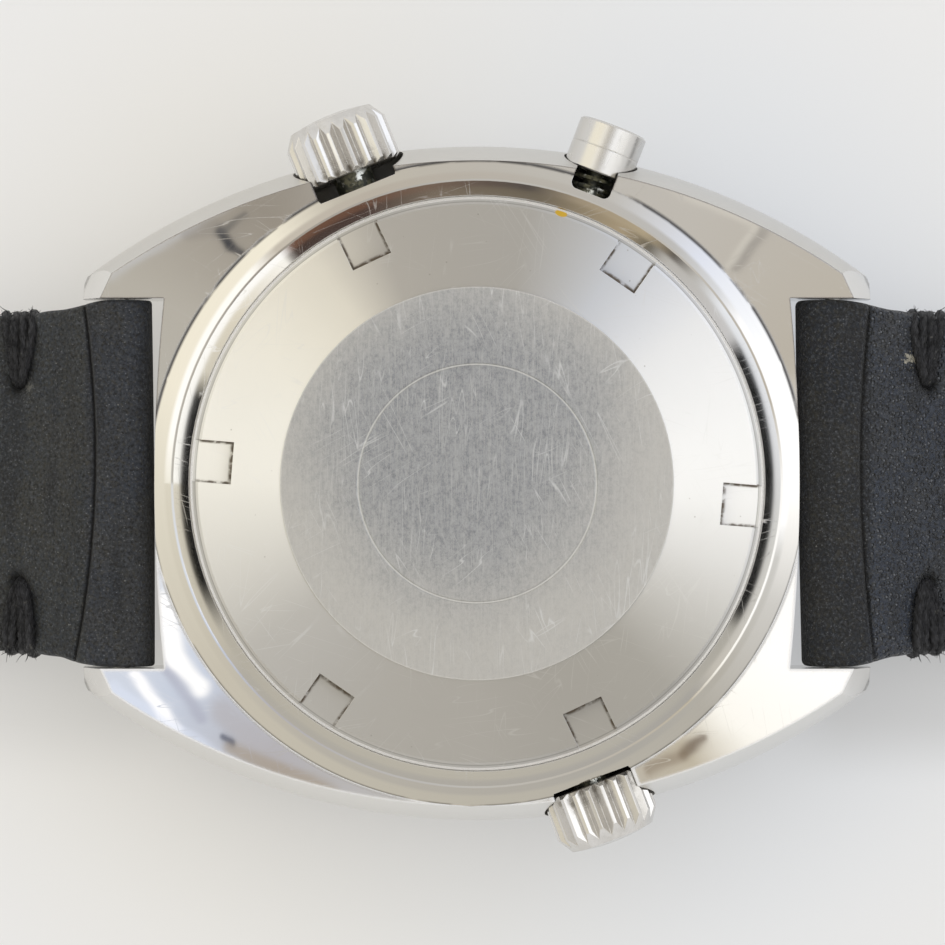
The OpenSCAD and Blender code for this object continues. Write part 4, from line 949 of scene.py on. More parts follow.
@dataclass(frozen=True)
class StrapLeather:
    """Worn black leather: a dull fold, a pebbled lining with painted glints and painted shade in its
    pits, pale specks, and painted shade in its seams and thread holes.

    The mesh carries a point attribute named seam, 1 in a seam or hole and 0 elsewhere.
    """

    name: str
    fold: Colour
    lining: Colour
    warm: Colour = (0.042, 0.038, 0.027)
    cool: Colour = (0.024, 0.032, 0.048)
    pebble: float = 0.4
    depth: float = 0.07
    gloss_and_painted_glints: float = 0.0
    lining_x: float = 23.3
    scuff: Place = (-26.9, 5.8)
    scuff_r: float = 0.2
    pale: Colour = (0.13, 0.13, 0.12)

    def make(self) -> Material:
        """Builds the material.

        Returns:
            The material.
        """
        paint = Paint(self.name)
        seam = paint.node("Attribute", {"attribute_name": "seam"}, {}, "Fac")
        lined = paint.between(abs(paint.x), self.lining_x - 0.3, self.lining_x + 0.3)
        nap = paint.cloud(5.5, 3.0, 0.7)
        tints = paint.cloud(4.2, 2.0, turn=25.0)
        cloud = paint.cloud(0.22, 4.0, 0.6)
        bands = paint.cloud((0.8, 0.1, 0.1), 3.0)
        pores = paint.cells(3.4)
        creases = paint.cells((1.5, 2.1, 1.8), 20.0, "DISTANCE_TO_EDGE")
        specks = paint.between(paint.cells(5.2, 50.0), 0.22, 0.05)
        fluff = paint.between(paint.cells((0.75, 0.95, 0.9), 15.0), 0.06, 0.02)
        tone = paint.mix(lined, self.fold, self.lining)
        tone = paint.mix(paint.between(tints, 0.52, 0.66) * 0.5, tone, self.warm)
        tone = paint.mix(paint.between(tints, 0.48, 0.34) * 0.5, tone, self.cool)
        tone = paint.mix(paint.between(cloud, 0.42, 0.62) * 0.3, tone, self.warm)
        tone = paint.mix(paint.between(bands, 0.48, 0.66) * 0.5, tone, (0.009, 0.011, 0.016))
        tone = paint.mix(paint.between(nap, 0.52, 0.68) * 0.8, tone, (0.068, 0.074, 0.085))
        tone = paint.mix(paint.between(nap, 0.49, 0.36) * 0.85, tone, (0.005, 0.005, 0.006))
        tone = paint.mix(specks * paint.between(nap, 0.44, 0.58), tone, (0.20, 0.205, 0.22))
        tone = paint.mix(fluff * 0.7, tone, (0.24, 0.24, 0.23))
        # Painted highlights: glints on the lining's pebbles.
        painted_glints = paint.between(pores, 0.34, 0.2) * paint.between(tints, 0.46, 0.58) * lined
        tone = paint.mix(painted_glints * self.gloss_and_painted_glints * 2.5, tone, (0.17, 0.185, 0.215))
        # Painted shade: dark pits among the pebbles.
        painted_pit_shade = paint.between(abs(pores - 0.42), 0.1, 0.03) * paint.between(tints, 0.54, 0.42) * lined
        tone = paint.mix(painted_pit_shade * self.gloss_and_painted_glints * 3.5, tone, (0.004, 0.004, 0.005))
        away = paint.away(*self.scuff) + (nap - 0.5) * 1.4 + (tints - 0.5) * 1.2
        tone = paint.mix(paint.between(away, self.scuff_r, self.scuff_r - 0.12), tone, self.pale)
        # Painted shade: near black in the seam grooves, more so the deeper they are, and in and round
        # the thread holes.
        tone = paint.mix(seam * 0.85, tone, (0.004, 0.004, 0.004))
        pebbles = paint.between(pores, 0.1, 0.5) * (lined * self.pebble + 0.15)
        grain = nap * 0.6 + pebbles + paint.between(creases, 0.0, 0.12) * 0.3
        rough = 0.62 + nap * 0.2 - lined * self.gloss_and_painted_glints
        normal = paint.bump(grain, self.depth)
        return paint.surface(
            Base_Color=tone,
            Roughness=rough,
            Normal=normal,
            Sheen_Weight=0.12,
            Sheen_Roughness=0.5,
            Specular_IOR_Level=0.35,
        )


@dataclass(frozen=True)
class WaxedThread:
    """Waxed black thread: fine fibres along the strand and dull wax highlights."""

    name: str = "waxed_thread"

    def make(self) -> Material:
        """Builds the material.

        Returns:
            The material.
        """
        paint = Paint(self.name)
        run = paint.node("UVMap", {"uv_map": "run"}, {})
        fibres = paint.noise(paint.turned((1.6, 22.0, 1.0), 9.0, run), 5.0, 0.8)
        wax = paint.cloud(1.9, 4.0, 0.65)
        bright = paint.between(fibres, 0.47, 0.6)
        tone = paint.mix(bright, (0.002, 0.002, 0.0025), (0.085, 0.087, 0.10))
        tone = paint.mix(paint.between(wax, 0.62, 0.7) * 0.5, tone, (0.24, 0.235, 0.22))
        rough = 0.3 + fibres * 0.35
        normal = paint.bump(fibres, 0.13)
        return paint.surface(Base_Color=tone, Roughness=rough, Normal=normal, Specular_IOR_Level=0.45)


def ease(value: Array) -> Array:
    """Smooth step from 0 to 1 as value goes from 0 to 1: 3 v squared less 2 v cubed."""
    held = np.clip(value, 0.0, 1.0)
    return held * held * (3.0 - 2.0 * held)


def grid_quads(rows: int, columns: int, wrap: bool) -> Array:
    """Quads of a grid whose point (row, column) has number row * columns + column.

    Args:
        rows: number of rows.
        columns: number of points in a row.
        wrap: whether the last column joins the first.

    Returns:
        An array of four point numbers for each quad.
    """
    index = np.arange(rows * columns).reshape(rows, columns)
    if wrap:
        index = np.hstack([index, index[:, :1]])
    quads = np.stack([index[:-1, :-1], index[1:, :-1], index[1:, 1:], index[:-1, 1:]], axis=-1)
    return quads.reshape(-1, 4)


def tidy_mesh(mesh: Mesh, merge: float, recalculate: bool) -> None:
    """Merges doubled points of a mesh and, if asked, turns all its faces outwards.

    Args:
        mesh: the mesh.
        merge: distance in millimetres under which points are merged.
        recalculate: whether normals are recalculated.
    """
    work = bmesh.new()
    work.from_mesh(mesh)
    bmesh.ops.remove_doubles(work, verts=work.verts, dist=merge * MM)
    bmesh.ops.dissolve_degenerate(work, edges=work.edges, dist=merge * MM * 0.1)
    if recalculate:
        bmesh.ops.recalc_face_normals(work, faces=work.faces)
    work.to_mesh(mesh)
    work.free()


def smooth(mesh: Mesh, angle: float) -> None:
    """Shades a mesh smoothly, apart from edges sharper than angle degrees."""
    mesh.shade_smooth()
    mesh.set_sharp_from_angle(angle=math.radians(angle))


def linked(name: str, data: bpy.types.ID) -> Object:
    """A new object of the scene with this mesh or camera."""
    made = bpy.data.objects.new(name, data)
    bpy.context.scene.collection.objects.link(made)
    return made


def make_piece(
    name: str,
    points: Array,
    faces: Array,
    material: Material,
    angle: float = 40.0,
    seam: Optional[Array] = None,
    run: Optional[Array] = None,
) -> Object:
    """Makes a closed piece from arrays.

    Args:
        name: the piece's name.
        points: places in millimetres, one row each.
        faces: quads as four point numbers each.
        material: its material.
        angle: edges sharper than this many degrees stay sharp.
        seam: the seam attribute of each point.
        run: two UV numbers for each corner of each face, in the faces' order.

    Returns:
        The object, linked to the scene.
    """
    mesh = bpy.data.meshes.new(name)
    mesh.from_pydata((points * MM).tolist(), [], faces.tolist())
    if seam is not None:
        layer = mesh.attributes.new("seam", "FLOAT", "POINT")
        layer.data.foreach_set("value", seam.astype(np.float32))
    if run is not None:
        layer = mesh.uv_layers.new(name="run")
        layer.data.foreach_set("uv", run.astype(np.float32).ravel())
    tidy_mesh(mesh, 0.0005, True)
    mesh.materials.append(material)
    smooth(mesh, angle)
    return linked(name, mesh)


def tube_quads(rows: int, columns: int) -> Pair:
    """Quads of a tube and the grid place of each corner, where the last column wraps to the first.

    Args:
        rows: number of rings.
        columns: number of points in a ring.

    Returns:
        The quads, and for each of their corners its row and its column, which reaches columns.
    """
    row, column = np.meshgrid(np.arange(rows - 1), np.arange(columns), indexing="ij")
    corner_rows = np.stack([row, row + 1, row + 1, row], axis=-1).reshape(-1)
    corner_columns = np.stack([column, column, column + 1, column + 1], axis=-1).reshape(-1)
    return grid_quads(rows, columns, True), np.stack([corner_rows, corner_columns], axis=-1)


def even_path(stops: Array, count: int, blur: float) -> Array:
    """A smooth path through about the given stops.

    The stops are joined by straight lines, sampled evenly along their length, and averaged under a
    bell curve.

    Args:
        stops: places, one row each.
        count: number of points of the path.
        blur: width of the bell curve in millimetres.

    Returns:
        The path's points.
    """
    steps = np.linalg.norm(np.diff(stops, axis=0), axis=1)
    run = np.concatenate([[0.0], np.cumsum(steps)])
    fine = np.linspace(0.0, run[-1], 801)
    dense = np.stack([np.interp(fine, run, stops[:, axis]) for axis in range(3)], axis=1)
    reach = max(int(3 * blur / (fine[1] - fine[0])), 1)
    bell = np.exp(-0.5 * (np.arange(-reach, reach + 1) / (reach / 3.0)) ** 2)
    bell /= bell.sum()
    padded = np.vstack([np.repeat(dense[:1], reach, 0), dense, np.repeat(dense[-1:], reach, 0)])
    soft = np.stack([np.convolve(padded[:, axis], bell, "valid") for axis in range(3)], axis=1)
    places = np.linspace(0.0, run[-1], count)
    return np.stack([np.interp(places, fine, soft[:, axis]) for axis in range(3)], axis=1)


@dataclass
class Workshop:
    """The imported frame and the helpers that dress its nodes."""

    frame: dict
    sharp: float = 32.0

    def place(self, piece: Object, body: str, slot: Slot, *nodes: str) -> None:
        """Puts a finished piece on its body.

        Args:
            piece: the piece.
            body: the CAD body that it rides on.
            slot: the record's material slot, not used.
            nodes: CAD nodes that it stands for.
        """
        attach(piece, body)
        if nodes:
            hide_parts(*nodes)
        LOG.info("%s rides on %s, %d faces", piece.name, body, len(piece.data.polygons))

    def paint(self, node: str, material: Material, slot: Slot) -> None:
        """Gives a CAD node, as it is, a material.

        Args:
            node: the node.
            material: its material.
            slot: the record's material slot, not used.
        """
        piece = self.frame["nodes"][node]
        piece.data.materials.clear()
        piece.data.materials.append(material)
        LOG.info("%s keeps its CAD mesh, %s", node, material.name)

    def skin(
        self,
        node: str,
        name: str,
        body: str,
        slot: Slot,
        materials: Sequence[Material],
    ) -> Object:
        """A copy of a CAD node with joined triangles, so that its curved faces shade smoothly.

        Args:
            node: the CAD node, which the copy stands for.
            name: the copy's name.
            body: the body that it rides on.
            slot: the record's material slot.
            materials: its materials.

        Returns:
            The copy.
        """
        source = self.frame["nodes"][node].data
        mesh = bpy.data.meshes.new(name)
        mesh.from_pydata(coordinates(source).tolist(), [], corner_points(source).reshape(-1, 3).tolist())
        tidy_mesh(mesh, 0.0004, False)
        for material in materials:
            mesh.materials.append(material)
        smooth(mesh, self.sharp)
        piece = linked(name, mesh)
        self.place(piece, body, slot, node)
        return piece


def coordinates(mesh: Mesh) -> Array:
    """Places of a mesh's points in metres, one row each."""
    flat = np.zeros(len(mesh.vertices) * 3)
    mesh.vertices.foreach_get("co", flat)
    return flat.reshape(-1, 3)


def corner_points(mesh: Mesh) -> Array:
    """The point number of each face corner of a mesh, face by face."""
    numbers = np.zeros(len(mesh.loops), dtype=np.int64)
    mesh.loops.foreach_get("vertex_index", numbers)
    return numbers


class CaseFinish(Enum):
    """Finishes of the middle case, by the number of their material."""

    INSIDE = 0
    FLANK = 1
    LUG_BACK = 2
    RIM = 3
    FACET = 4


@dataclass
class Case:
    """Middle case: its sizes, and the exact directions of its polished and satin faces."""

    workshop: Workshop
    half_w: float = 20.28
    flank_plan_r: float = 39.0
    flank_bulge_r: float = 10.3
    widest_z: float = 5.5
    lug_back_z: float = 10.15
    arch_r: float = 1100.0
    rim_r: float = 2.9
    rim_crest_r: float = 17.95
    rim_crest_z: float = 10.4
    rim_out_r: float = 19.5
    dome_r: float = 63.4
    dome_edge_z: float = 2.82
    bezel_r: float = 18.6
    bore_r: float = 17.07
    collar_in_r: float = 15.5
    collar_out_r: float = 17.3
    collar_z: float = 7.0
    tip_x: float = 21.3
    tip_z: float = 4.5
    wall_x: float = 18.4
    wall_half_w: float = 11.2
    far: float = 9.0

    def flank(self, places: Array, side: float) -> Pair:
        """Distance to a flank and its outward directions.

        The flank is a ring torus about a vertical axis at y = -side * (plan radius - half width).

        Args:
            places: points in millimetres, along the last axis.
            side: 1 for the flank at +Y and -1 for the other.

        Returns:
            Distances and unit directions.
        """
        x = places[..., 0]
        y = places[..., 1] + side * (self.flank_plan_r - self.half_w)
        out = np.hypot(x, y)
        ring = self.flank_plan_r - self.flank_bulge_r
        over = out - ring
        up = places[..., 2] - self.widest_z
        size = np.hypot(over, up)
        directions = np.stack([x / out * over, y / out * over, up], axis=-1) / size[..., None]
        wrong = (over < 0) | (y * side < 0)
        return np.where(wrong, self.far, np.abs(size - self.flank_bulge_r)), directions

    def lug_back(self, places: Array) -> Pair:
        """Distance to the long arch of the lug backs, a cylinder along Y, and its directions.

        Args:
            places: points in millimetres, along the last axis.

        Returns:
            Distances and unit directions.
        """
        x = places[..., 0]
        up = places[..., 2] - (self.lug_back_z - self.arch_r)
        size = np.hypot(x, up)
        directions = np.stack([x, np.zeros_like(x), up], axis=-1) / size[..., None]
        return np.abs(size - self.arch_r), directions

    def rim(self, places: Array) -> Pair:
        """Distance to the rim's crest or outer slope, a ring torus about Z, and its directions.

        Args:
            places: points in millimetres, along the last axis.

        Returns:
            Distances and unit directions.
        """
        x, y = places[..., 0], places[..., 1]
        out = np.hypot(x, y)
        over = np.maximum(out - self.rim_crest_r, 0.0)
        up = places[..., 2] - (self.rim_crest_z - self.rim_r)
        size = np.hypot(over, up)
        along = over / np.maximum(out, 1e-9)
        directions = np.stack([x * along, y * along, up], axis=-1) / size[..., None]
        wrong = (out < self.bore_r - 0.02) | (up < 0) | (out > self.rim_out_r)
        return np.where(wrong, self.far, np.abs(size - self.rim_r)), directions

    def dome(self, places: Array) -> Pair:
        """Distance to the dome of the dial side, a sphere round a point on the axis, and its directions.

        Args:
            places: points in millimetres, along the last axis.

        Returns:
            Distances and unit directions.
        """
        centre = self.dome_edge_z - self.bezel_r**2 / (2 * self.dome_r) + self.dome_r
        from_centre = places - np.array([0.0, 0.0, centre])
        size = np.linalg.norm(from_centre, axis=-1)
        return np.abs(size - self.dome_r), from_centre / size[..., None]

    def build(self) -> None:
        """Makes the case's smooth copy, gives its faces their finishes and sets exact normals.

        A triangle belongs to a surface if its three corners lie on it and it faces the same way.
        """
        finishes = [
            PlainMetal("case_inside_steel", (0.42, 0.41, 0.39), 0.34).make(),
            BrushedSteel().make(),
            LugBackSteel().make(),
            RimSteel().make(),
            PolishedSteel("facet_polish", (0.84, 0.83, 0.81), 0.14).make(),
        ]
        piece = self.workshop.skin("middle_case", "case_middle", "head", Slot.SATIN, finishes)
        mesh = piece.data
        corners = coordinates(mesh)[corner_points(mesh)].reshape(-1, 3, 3) / MM
        cross = np.cross(corners[:, 1] - corners[:, 0], corners[:, 2] - corners[:, 0])
        facing = cross / np.maximum(np.linalg.norm(cross, axis=1, keepdims=True), 1e-12)
        normals = np.zeros(len(mesh.loops) * 3)
        mesh.corner_normals.foreach_get("vector", normals)
        normals = normals.reshape(-1, 3, 3)
        zone = np.full(len(corners), CaseFinish.INSIDE.value, dtype=np.int32)
        forms = [
            (CaseFinish.FLANK, self.flank(corners, 1.0)),
            (CaseFinish.FLANK, self.flank(corners, -1.0)),
            (CaseFinish.FLANK, self.dome(corners)),
            (CaseFinish.LUG_BACK, self.lug_back(corners)),
            (CaseFinish.RIM, self.rim(corners)),
        ]
        for finish, (away, directions) in forms:
            agree = np.einsum("ij,ij->i", directions.mean(axis=1), facing) > 0.9
            mine = (away.max(axis=1) < 0.02) & agree
            zone[mine] = finish.value
            normals[mine] = directions[mine]
        x, y, z = corners.mean(axis=1).T
        radius = np.hypot(x, y)
        collar = (radius > self.collar_in_r) & (radius < self.collar_out_r) & (z > self.collar_z)
        tips = (np.abs(x) > self.tip_x) & (z > self.tip_z)
        walls = (np.abs(x) > self.wall_x) & (np.abs(y) < self.wall_half_w)
        unfound = zone == CaseFinish.INSIDE.value
        zone[unfound & (collar | tips | walls)] = CaseFinish.FACET.value
        mesh.polygons.foreach_set("material_index", zone)
        mesh.normals_split_custom_set(normals.reshape(-1, 3).tolist())
        LOG.info("case faces by finish: %s", np.bincount(zone, minlength=len(CaseFinish)).tolist())


@dataclass
class Head:
    """Everything fixed in or turning on the case, apart from the case itself."""

    workshop: Workshop

    def build(self) -> None:
        """Dresses the outside and the inside of the head."""
        self._outside()
        self._dial_side()
        self._inside()

    def _outside(self) -> None:
        """Case back, bezel, crystal, crowns and pusher."""
        skin = self.workshop.skin
        self._case_back()
        polish = PolishedSteel("bezel_polish", roughness=0.12)
        skin("bezel", "glass_bezel", "head", Slot.SATIN, [polish.make()])
        skin("crystal", "watch_glass", "head", Slot.GLASS, [Crystal().make()])
        setting = CrownSteel("setting_crown_steel", turn=112.0, inner_r=19.9)
        skin("crown", "setting_crown", "crown", Slot.POLISHED, [setting.make()])
        turning = CrownSteel("bezel_crown_steel", turn=291.0, inner_r=19.12)
        skin("bezel_crown", "turning_crown", "bezel_crown", Slot.POLISHED, [turning.make()])
        pressed = PolishedSteel("pusher_polish", roughness=0.24)
        skin("pusher_cap", "start_pusher", "pusher", Slot.POLISHED, [pressed.make()])

    def _case_back(self) -> None:
        """Case back, whose raised centre disc is a second finish."""
        back = CaseBackSteel()
        finishes = [back.ring(), back.disc()]
        piece = self.workshop.skin("case_back", "back_cover", "head", Slot.SATIN, finishes)
        corners = coordinates(piece.data)[corner_points(piece.data)].reshape(-1, 3, 3) / MM
        out = np.hypot(corners[..., 0], corners[..., 1]).max(axis=1)
        disc = (out < back.disc_r + 0.02) & (corners[..., 2].min(axis=1) > back.face_z - 0.2)
        piece.data.polygons.foreach_set("material_index", disc.astype(np.int32))
        LOG.info("case back faces in the disc: %d", int(disc.sum()))

    def _dial_side(self) -> None:
        """Dial, inner bezel, markers and hands."""
        skin = self.workshop.skin
        white = Enamel("hand_white_paint", (0.80, 0.80, 0.76)).make()
        orange = Enamel("hand_orange_paint", (0.72, 0.16, 0.03)).make()
        skin("dial", "dial_plate", "head", Slot.DIAL, [DialPaint().make()])
        skin("inner_bezel", "scale_ring", "inner_bezel", Slot.BEZEL_PAINT, [BezelPaint().make()])
        skin("hour_markers", "baton_markers", "head", Slot.HAND_WHITE, [white])
        skin("hour_hand", "hour_pointer", "hour_hand", Slot.HAND_WHITE, [white])
        skin("minute_hand", "minute_pointer", "minute_hand", Slot.HAND_WHITE, [white])
        skin("counter_hand", "counter_pointer", "counter_hand", Slot.HAND_WHITE, [white])
        skin("seconds_hand", "sweep_pointer", "seconds_hand", Slot.HAND_ORANGE, [orange])

    def _inside(self) -> None:
        """Materials of the pieces that the case hides."""
        steel = PlainMetal("machined_steel", (0.52, 0.515, 0.50)).make()
        oily_shaded = OilyShadedSteel("oily_shaded_steel").make()
        gilt = PlainMetal("gilt_brass", (0.75, 0.56, 0.27), 0.25).make()
        nickel = PlainMetal("striped_nickel", (0.62, 0.60, 0.56), 0.22, 1.0).make()
        blued = PlainMetal("blued_steel", (0.05, 0.09, 0.26), 0.2).make()
        nylon = Moulded("gasket_nylon", (0.72, 0.70, 0.62), 0.45).make()
        rubber = Moulded("gasket_rubber", (0.02, 0.02, 0.02), 0.55).make()
        groups = [
            (oily_shaded, Slot.PLAIN, "crown_tube bezel_crown_tube pusher_tube"),
            (steel, Slot.PLAIN, "spring_bar_12 spring_bar_6"),
            (steel, Slot.PLAIN, "casing_screws rotor_bearing winding_stem winding_pinion setting_lever"),
            (steel, Slot.PLAIN, "bezel_crown_stem seconds_arbor"),
            (oily_shaded, Slot.PLAIN, "pusher_stem pusher_spring"),
            (steel, Slot.PLAIN, "escape_wheel pallet_fork buckle_bar"),
            (gilt, Slot.GILT, "movement_ring bezel_pinion hour_wheel cannon_pinion minute_wheel"),
            (gilt, Slot.GILT, "barrel centre_wheel third_wheel fourth_wheel balance_wheel rotor"),
            (nickel, Slot.NICKEL, "mainplate barrel_bridge train_bridge balance_cock"),
            (blued, Slot.BLUED, "bridge_screws hairspring column_wheel"),
            (nylon, Slot.NYLON, "crystal_gasket"),
            (rubber, Slot.RUBBER, "case_back_gasket crown_gasket"),
        ]
        for material, slot, nodes in groups:
            for node in nodes.split():
                self.workshop.paint(node, material, slot)


@dataclass(frozen=True)
class Seam:
    """A line across the strap's lining: distance from the spring bar at centre, plus a bow."""

    at: float
    bow: float
    centre: float
    step: float
    groove: float
    width: float

    def line(self, y: Array) -> Array:
        """Distance of the line from the spring bar: at + bow * (y - centre) squared."""
        return self.at + self.bow * (y - self.centre) ** 2


@dataclass
class StrapPiece:
    """One piece of the strap as a closed leather shell, on the +X side before it is mirrored.

    Its side outline is the one of the CAD solid: a fold round the spring bar, a fall to the table, and
    for the buckle piece a rise over the long one. Its edges are rounded and its surface is worn.
    """

    workshop: Workshop
    name: str
    node: str
    body: str
    side: float
    length: float
    lift: float
    seams: tuple[Seam, ...]
    material: Material
    tipped: bool
    lean: float
    set_in: float
    ahead: float = 0.0
    bar_x: float = 21.3
    axis_z: float = 7.9
    fold_t: float = 3.9
    thin_t: float = 2.4
    wide: float = 21.7
    narrow: float = 18.0
    taper_from: float = 3.0
    taper_to: float = 46.0
    drape_l: float = 16.7
    drape_slope: float = -0.55
    flap_l: float = 2.6
    flap_step: float = 0.3
    lift_from: float = 29.0
    lift_to: float = 51.0
    edge_r: float = 0.38
    fold_edge_r: float = 0.2
    stitch_x: float = 6.2
    hole_in: float = 4.1
    thinning_l: float = 40.0
    tip_more: float = 3.0
    end_swell: float = 0.33
    columns: int = 81
    holes: int = 7
    hole_r: float = 1.1
    hole_pitch: float = 6.5
    hole_from_tip: float = 24.0
    slot_r: float = 1.4
    slot_l: float = 4.0

    def bottom(self, x: Array) -> Array:
        """Height of the underside: a cubic from the fold down to the table, plus the rise.

        Args:
            x: distances from the spring bar.

        Returns:
            The heights.
        """
        start = self.axis_z - self.fold_t / 2
        share = np.clip(x / self.drape_l, 0.0, 1.0)
        slope = self.drape_slope * self.drape_l / start
        fall = 2 * share**3 - 3 * share**2 + 1 + slope * (share**3 - 2 * share**2 + share)
        return start * fall + self.lift * ease((x - self.lift_from) / (self.lift_to - self.lift_from))

    def thickness(self, x: Array) -> Array:
        """Thickness across the leather, without the flap's step."""
        share = ease((x - self.flap_l) / self.thinning_l)
        thin = self.thin_t + (self.fold_t - self.thin_t) * (1 - share)
        return np.where(x < self.flap_l, self.fold_t, thin)

    def top(self, x: Array) -> Array:
        """Height of the upper side: the CAD's chords, softened by a bell curve along the strap.

        Args:
            x: distances from the spring bar.

        Returns:
            The heights.
        """
        knots = [[0.0, self.flap_l], np.arange(4.0, 19.1, 1.5), np.arange(22.0, 52.0, 3.0), [200.0]]
        knots = np.concatenate(knots)
        slope = (self.bottom(knots + 0.05) - self.bottom(knots - 0.05)) / 0.1
        heights = self.bottom(knots) + self.thickness(knots) * np.sqrt(1 + slope**2)
        heights -= self.flap_step * np.clip((knots - self.flap_l) / 4.0, 0.0, 1.0)
        heights[0] = self.axis_z + self.fold_t / 2
        fine = np.arange(-3.0, 203.0, 0.1)
        dense = np.interp(np.abs(fine), knots, heights)
        bell = np.exp(-0.5 * (np.arange(-15, 16) / 6.0) ** 2)
        soft = np.convolve(np.pad(dense, 15, mode="edge"), bell / bell.sum(), "valid")
        return np.interp(x, fine, soft)

    def half_width(self, x: Array) -> Array:
        """Half the width: a straight taper, full at the fold, pinched at the thread, and a round tip.

        Args:
            x: distances from the spring bar.

        Returns:
            Half the widths.
        """
        share = np.clip((x - self.taper_from) / (self.taper_to - self.taper_from), 0.0, 1.0)
        half = (self.wide + (self.narrow - self.wide) * share) / 2
        pinch = 0.3 * np.exp(-(((x - self.stitch_x) / 1.1) ** 2))
        half = half + 0.07 * np.exp(-((x / 1.5) ** 2)) - pinch
        half = half - 0.45 * ease((x - 0.6) / 3.0) * (1 - ease((x - 9.0) / 16.0))
        if self.tipped:
            tip_r = self.narrow / 2 + self.tip_more
            over = np.clip(x - (self.length - tip_r), 0.0, tip_r)
            half = np.minimum(half, np.sqrt(np.maximum(tip_r**2 - over**2, 0.0)))
        return half

    def relief(self, x: Array, y: Array) -> Pair:
        """Height of the worn surface over the plain outline, and the seam attribute.

        It adds slow waves, each seam's groove and step, the press of the thread bundles and the dents
        of their holes.

        Args:
            x: distances from the spring bar.
            y: distances from the middle.

        Returns:
            Heights in millimetres and seam values from 0 to 1.
        """
        half = self.half_width(x)
        waves = 0.05 * np.sin(0.8 * x + 0.33 * y + 1.0) + 0.04 * np.sin(0.52 * y - 0.45 * x)
        waves += 0.03 * np.sin(1.9 * x - 0.7 * y + 2.0) * np.cos(0.9 * y)
        height = waves * ease((x - 1.0) / 3.0)
        mark = np.zeros_like(height)
        for seam in self.seams:
            off = x - seam.line(y)
            bell = np.exp(-((off / seam.width) ** 2))
            height = height - seam.groove * bell - seam.step * ease(off / (3 * seam.width) + 0.5)
            mark = np.maximum(mark, bell * min(seam.groove * 6.0, 1.0))
        band = np.exp(-(((x - self.stitch_x) / 1.15) ** 2))
        height = height - 0.4 * band * ease((np.abs(y) - (half - self.hole_in)) / 0.9)
        hole = np.hypot(x - self.stitch_x, np.abs(y) - (half - self.hole_in))
        height = height - 0.9 * np.exp(-((hole / 0.5) ** 2))
        mark = np.maximum(mark, np.exp(-((hole / 0.62) ** 2)))
        return height, mark

    def stations(self) -> Array:
        """Distances from the spring bar at which the shell has points, closer by the seams.

        Returns:
            The distances in growing order.
        """
        parts = [np.arange(0.0, 1.4, 0.14), np.arange(1.4, 2.8, 0.05), np.arange(2.8, 8.6, 0.14)]
        parts += [np.arange(8.6, 20.0, 0.4), np.arange(20.0, 56.0, 0.9)]
        if not self.tipped:
            last = self.length - 4.5
            end = np.linspace(last, self.length, 12)
            return np.concatenate([*parts, np.arange(56.0, last, 1.2), end])
        tip_r = self.narrow / 2 + self.tip_more
        turn = np.linspace(0.0, np.pi / 2, 34)
        tip = self.length - tip_r + tip_r * np.sin(turn)
        return np.concatenate([*parts, np.arange(56.0, self.length - tip_r - 0.3, 1.2), tip])

    def build(self) -> Object:
        """Lofts the shell, cuts its holes and places it.

        Every station is a closed ring: the underside's row from edge to edge and the upper side's row
        back. Rows near an edge follow a quarter circle. The stations start on a half circle round the
        spring bar, where both rows meet, and the buckle piece ends on one too. Near the bar the whole
        ring moves along X by lean times Y, less ahead, and less set_in at the middle.

        Returns:
            The piece.
        """
        turn = np.radians(np.array([30.0, 60.0, 90.0]))
        inner = np.linspace(-1.0, 1.0, self.columns)
        flat = np.zeros(self.columns)
        share = np.concatenate([-np.ones(3), inner, np.ones(3)])[None, :]
        out = np.concatenate([-np.sin(turn[::-1]), flat, np.sin(turn)])[None, :]
        drop = np.concatenate([1 - np.cos(turn[::-1]), flat, 1 - np.cos(turn)])[None, :]
        base = self.stations()[:, None]
        half = self.half_width(base)
        edge = self.fold_edge_r + (self.edge_r - self.fold_edge_r) * ease(base / 3.0)
        edge = np.minimum(edge, half * 0.6)
        y = share * (half - edge) + out * edge
        shift = (self.seams[0].line(y) - 2.0) * np.exp(-(((base - 2.0) / 1.3) ** 2))
        x = base + shift * ease(base / 0.8)
        raised, mark = self.relief(x, y)
        low = self.bottom(x) + drop * edge
        high = self.top(x) + raised - drop * edge
        low += 0.03 * np.sin(0.9 * x - 0.4 * y) * ease((x - 1.0) / 3.0) * (x < self.drape_l * 0.8)
        fold = self.fold_t / 2 - drop * self.fold_edge_r
        start = self._fold(np.linspace(-90.0, 0.0, 16)[:-1], fold, 0.0, self.axis_z, y[0])
        rows = np.concatenate([start, np.stack([x, y, low, high, mark])], axis=1)
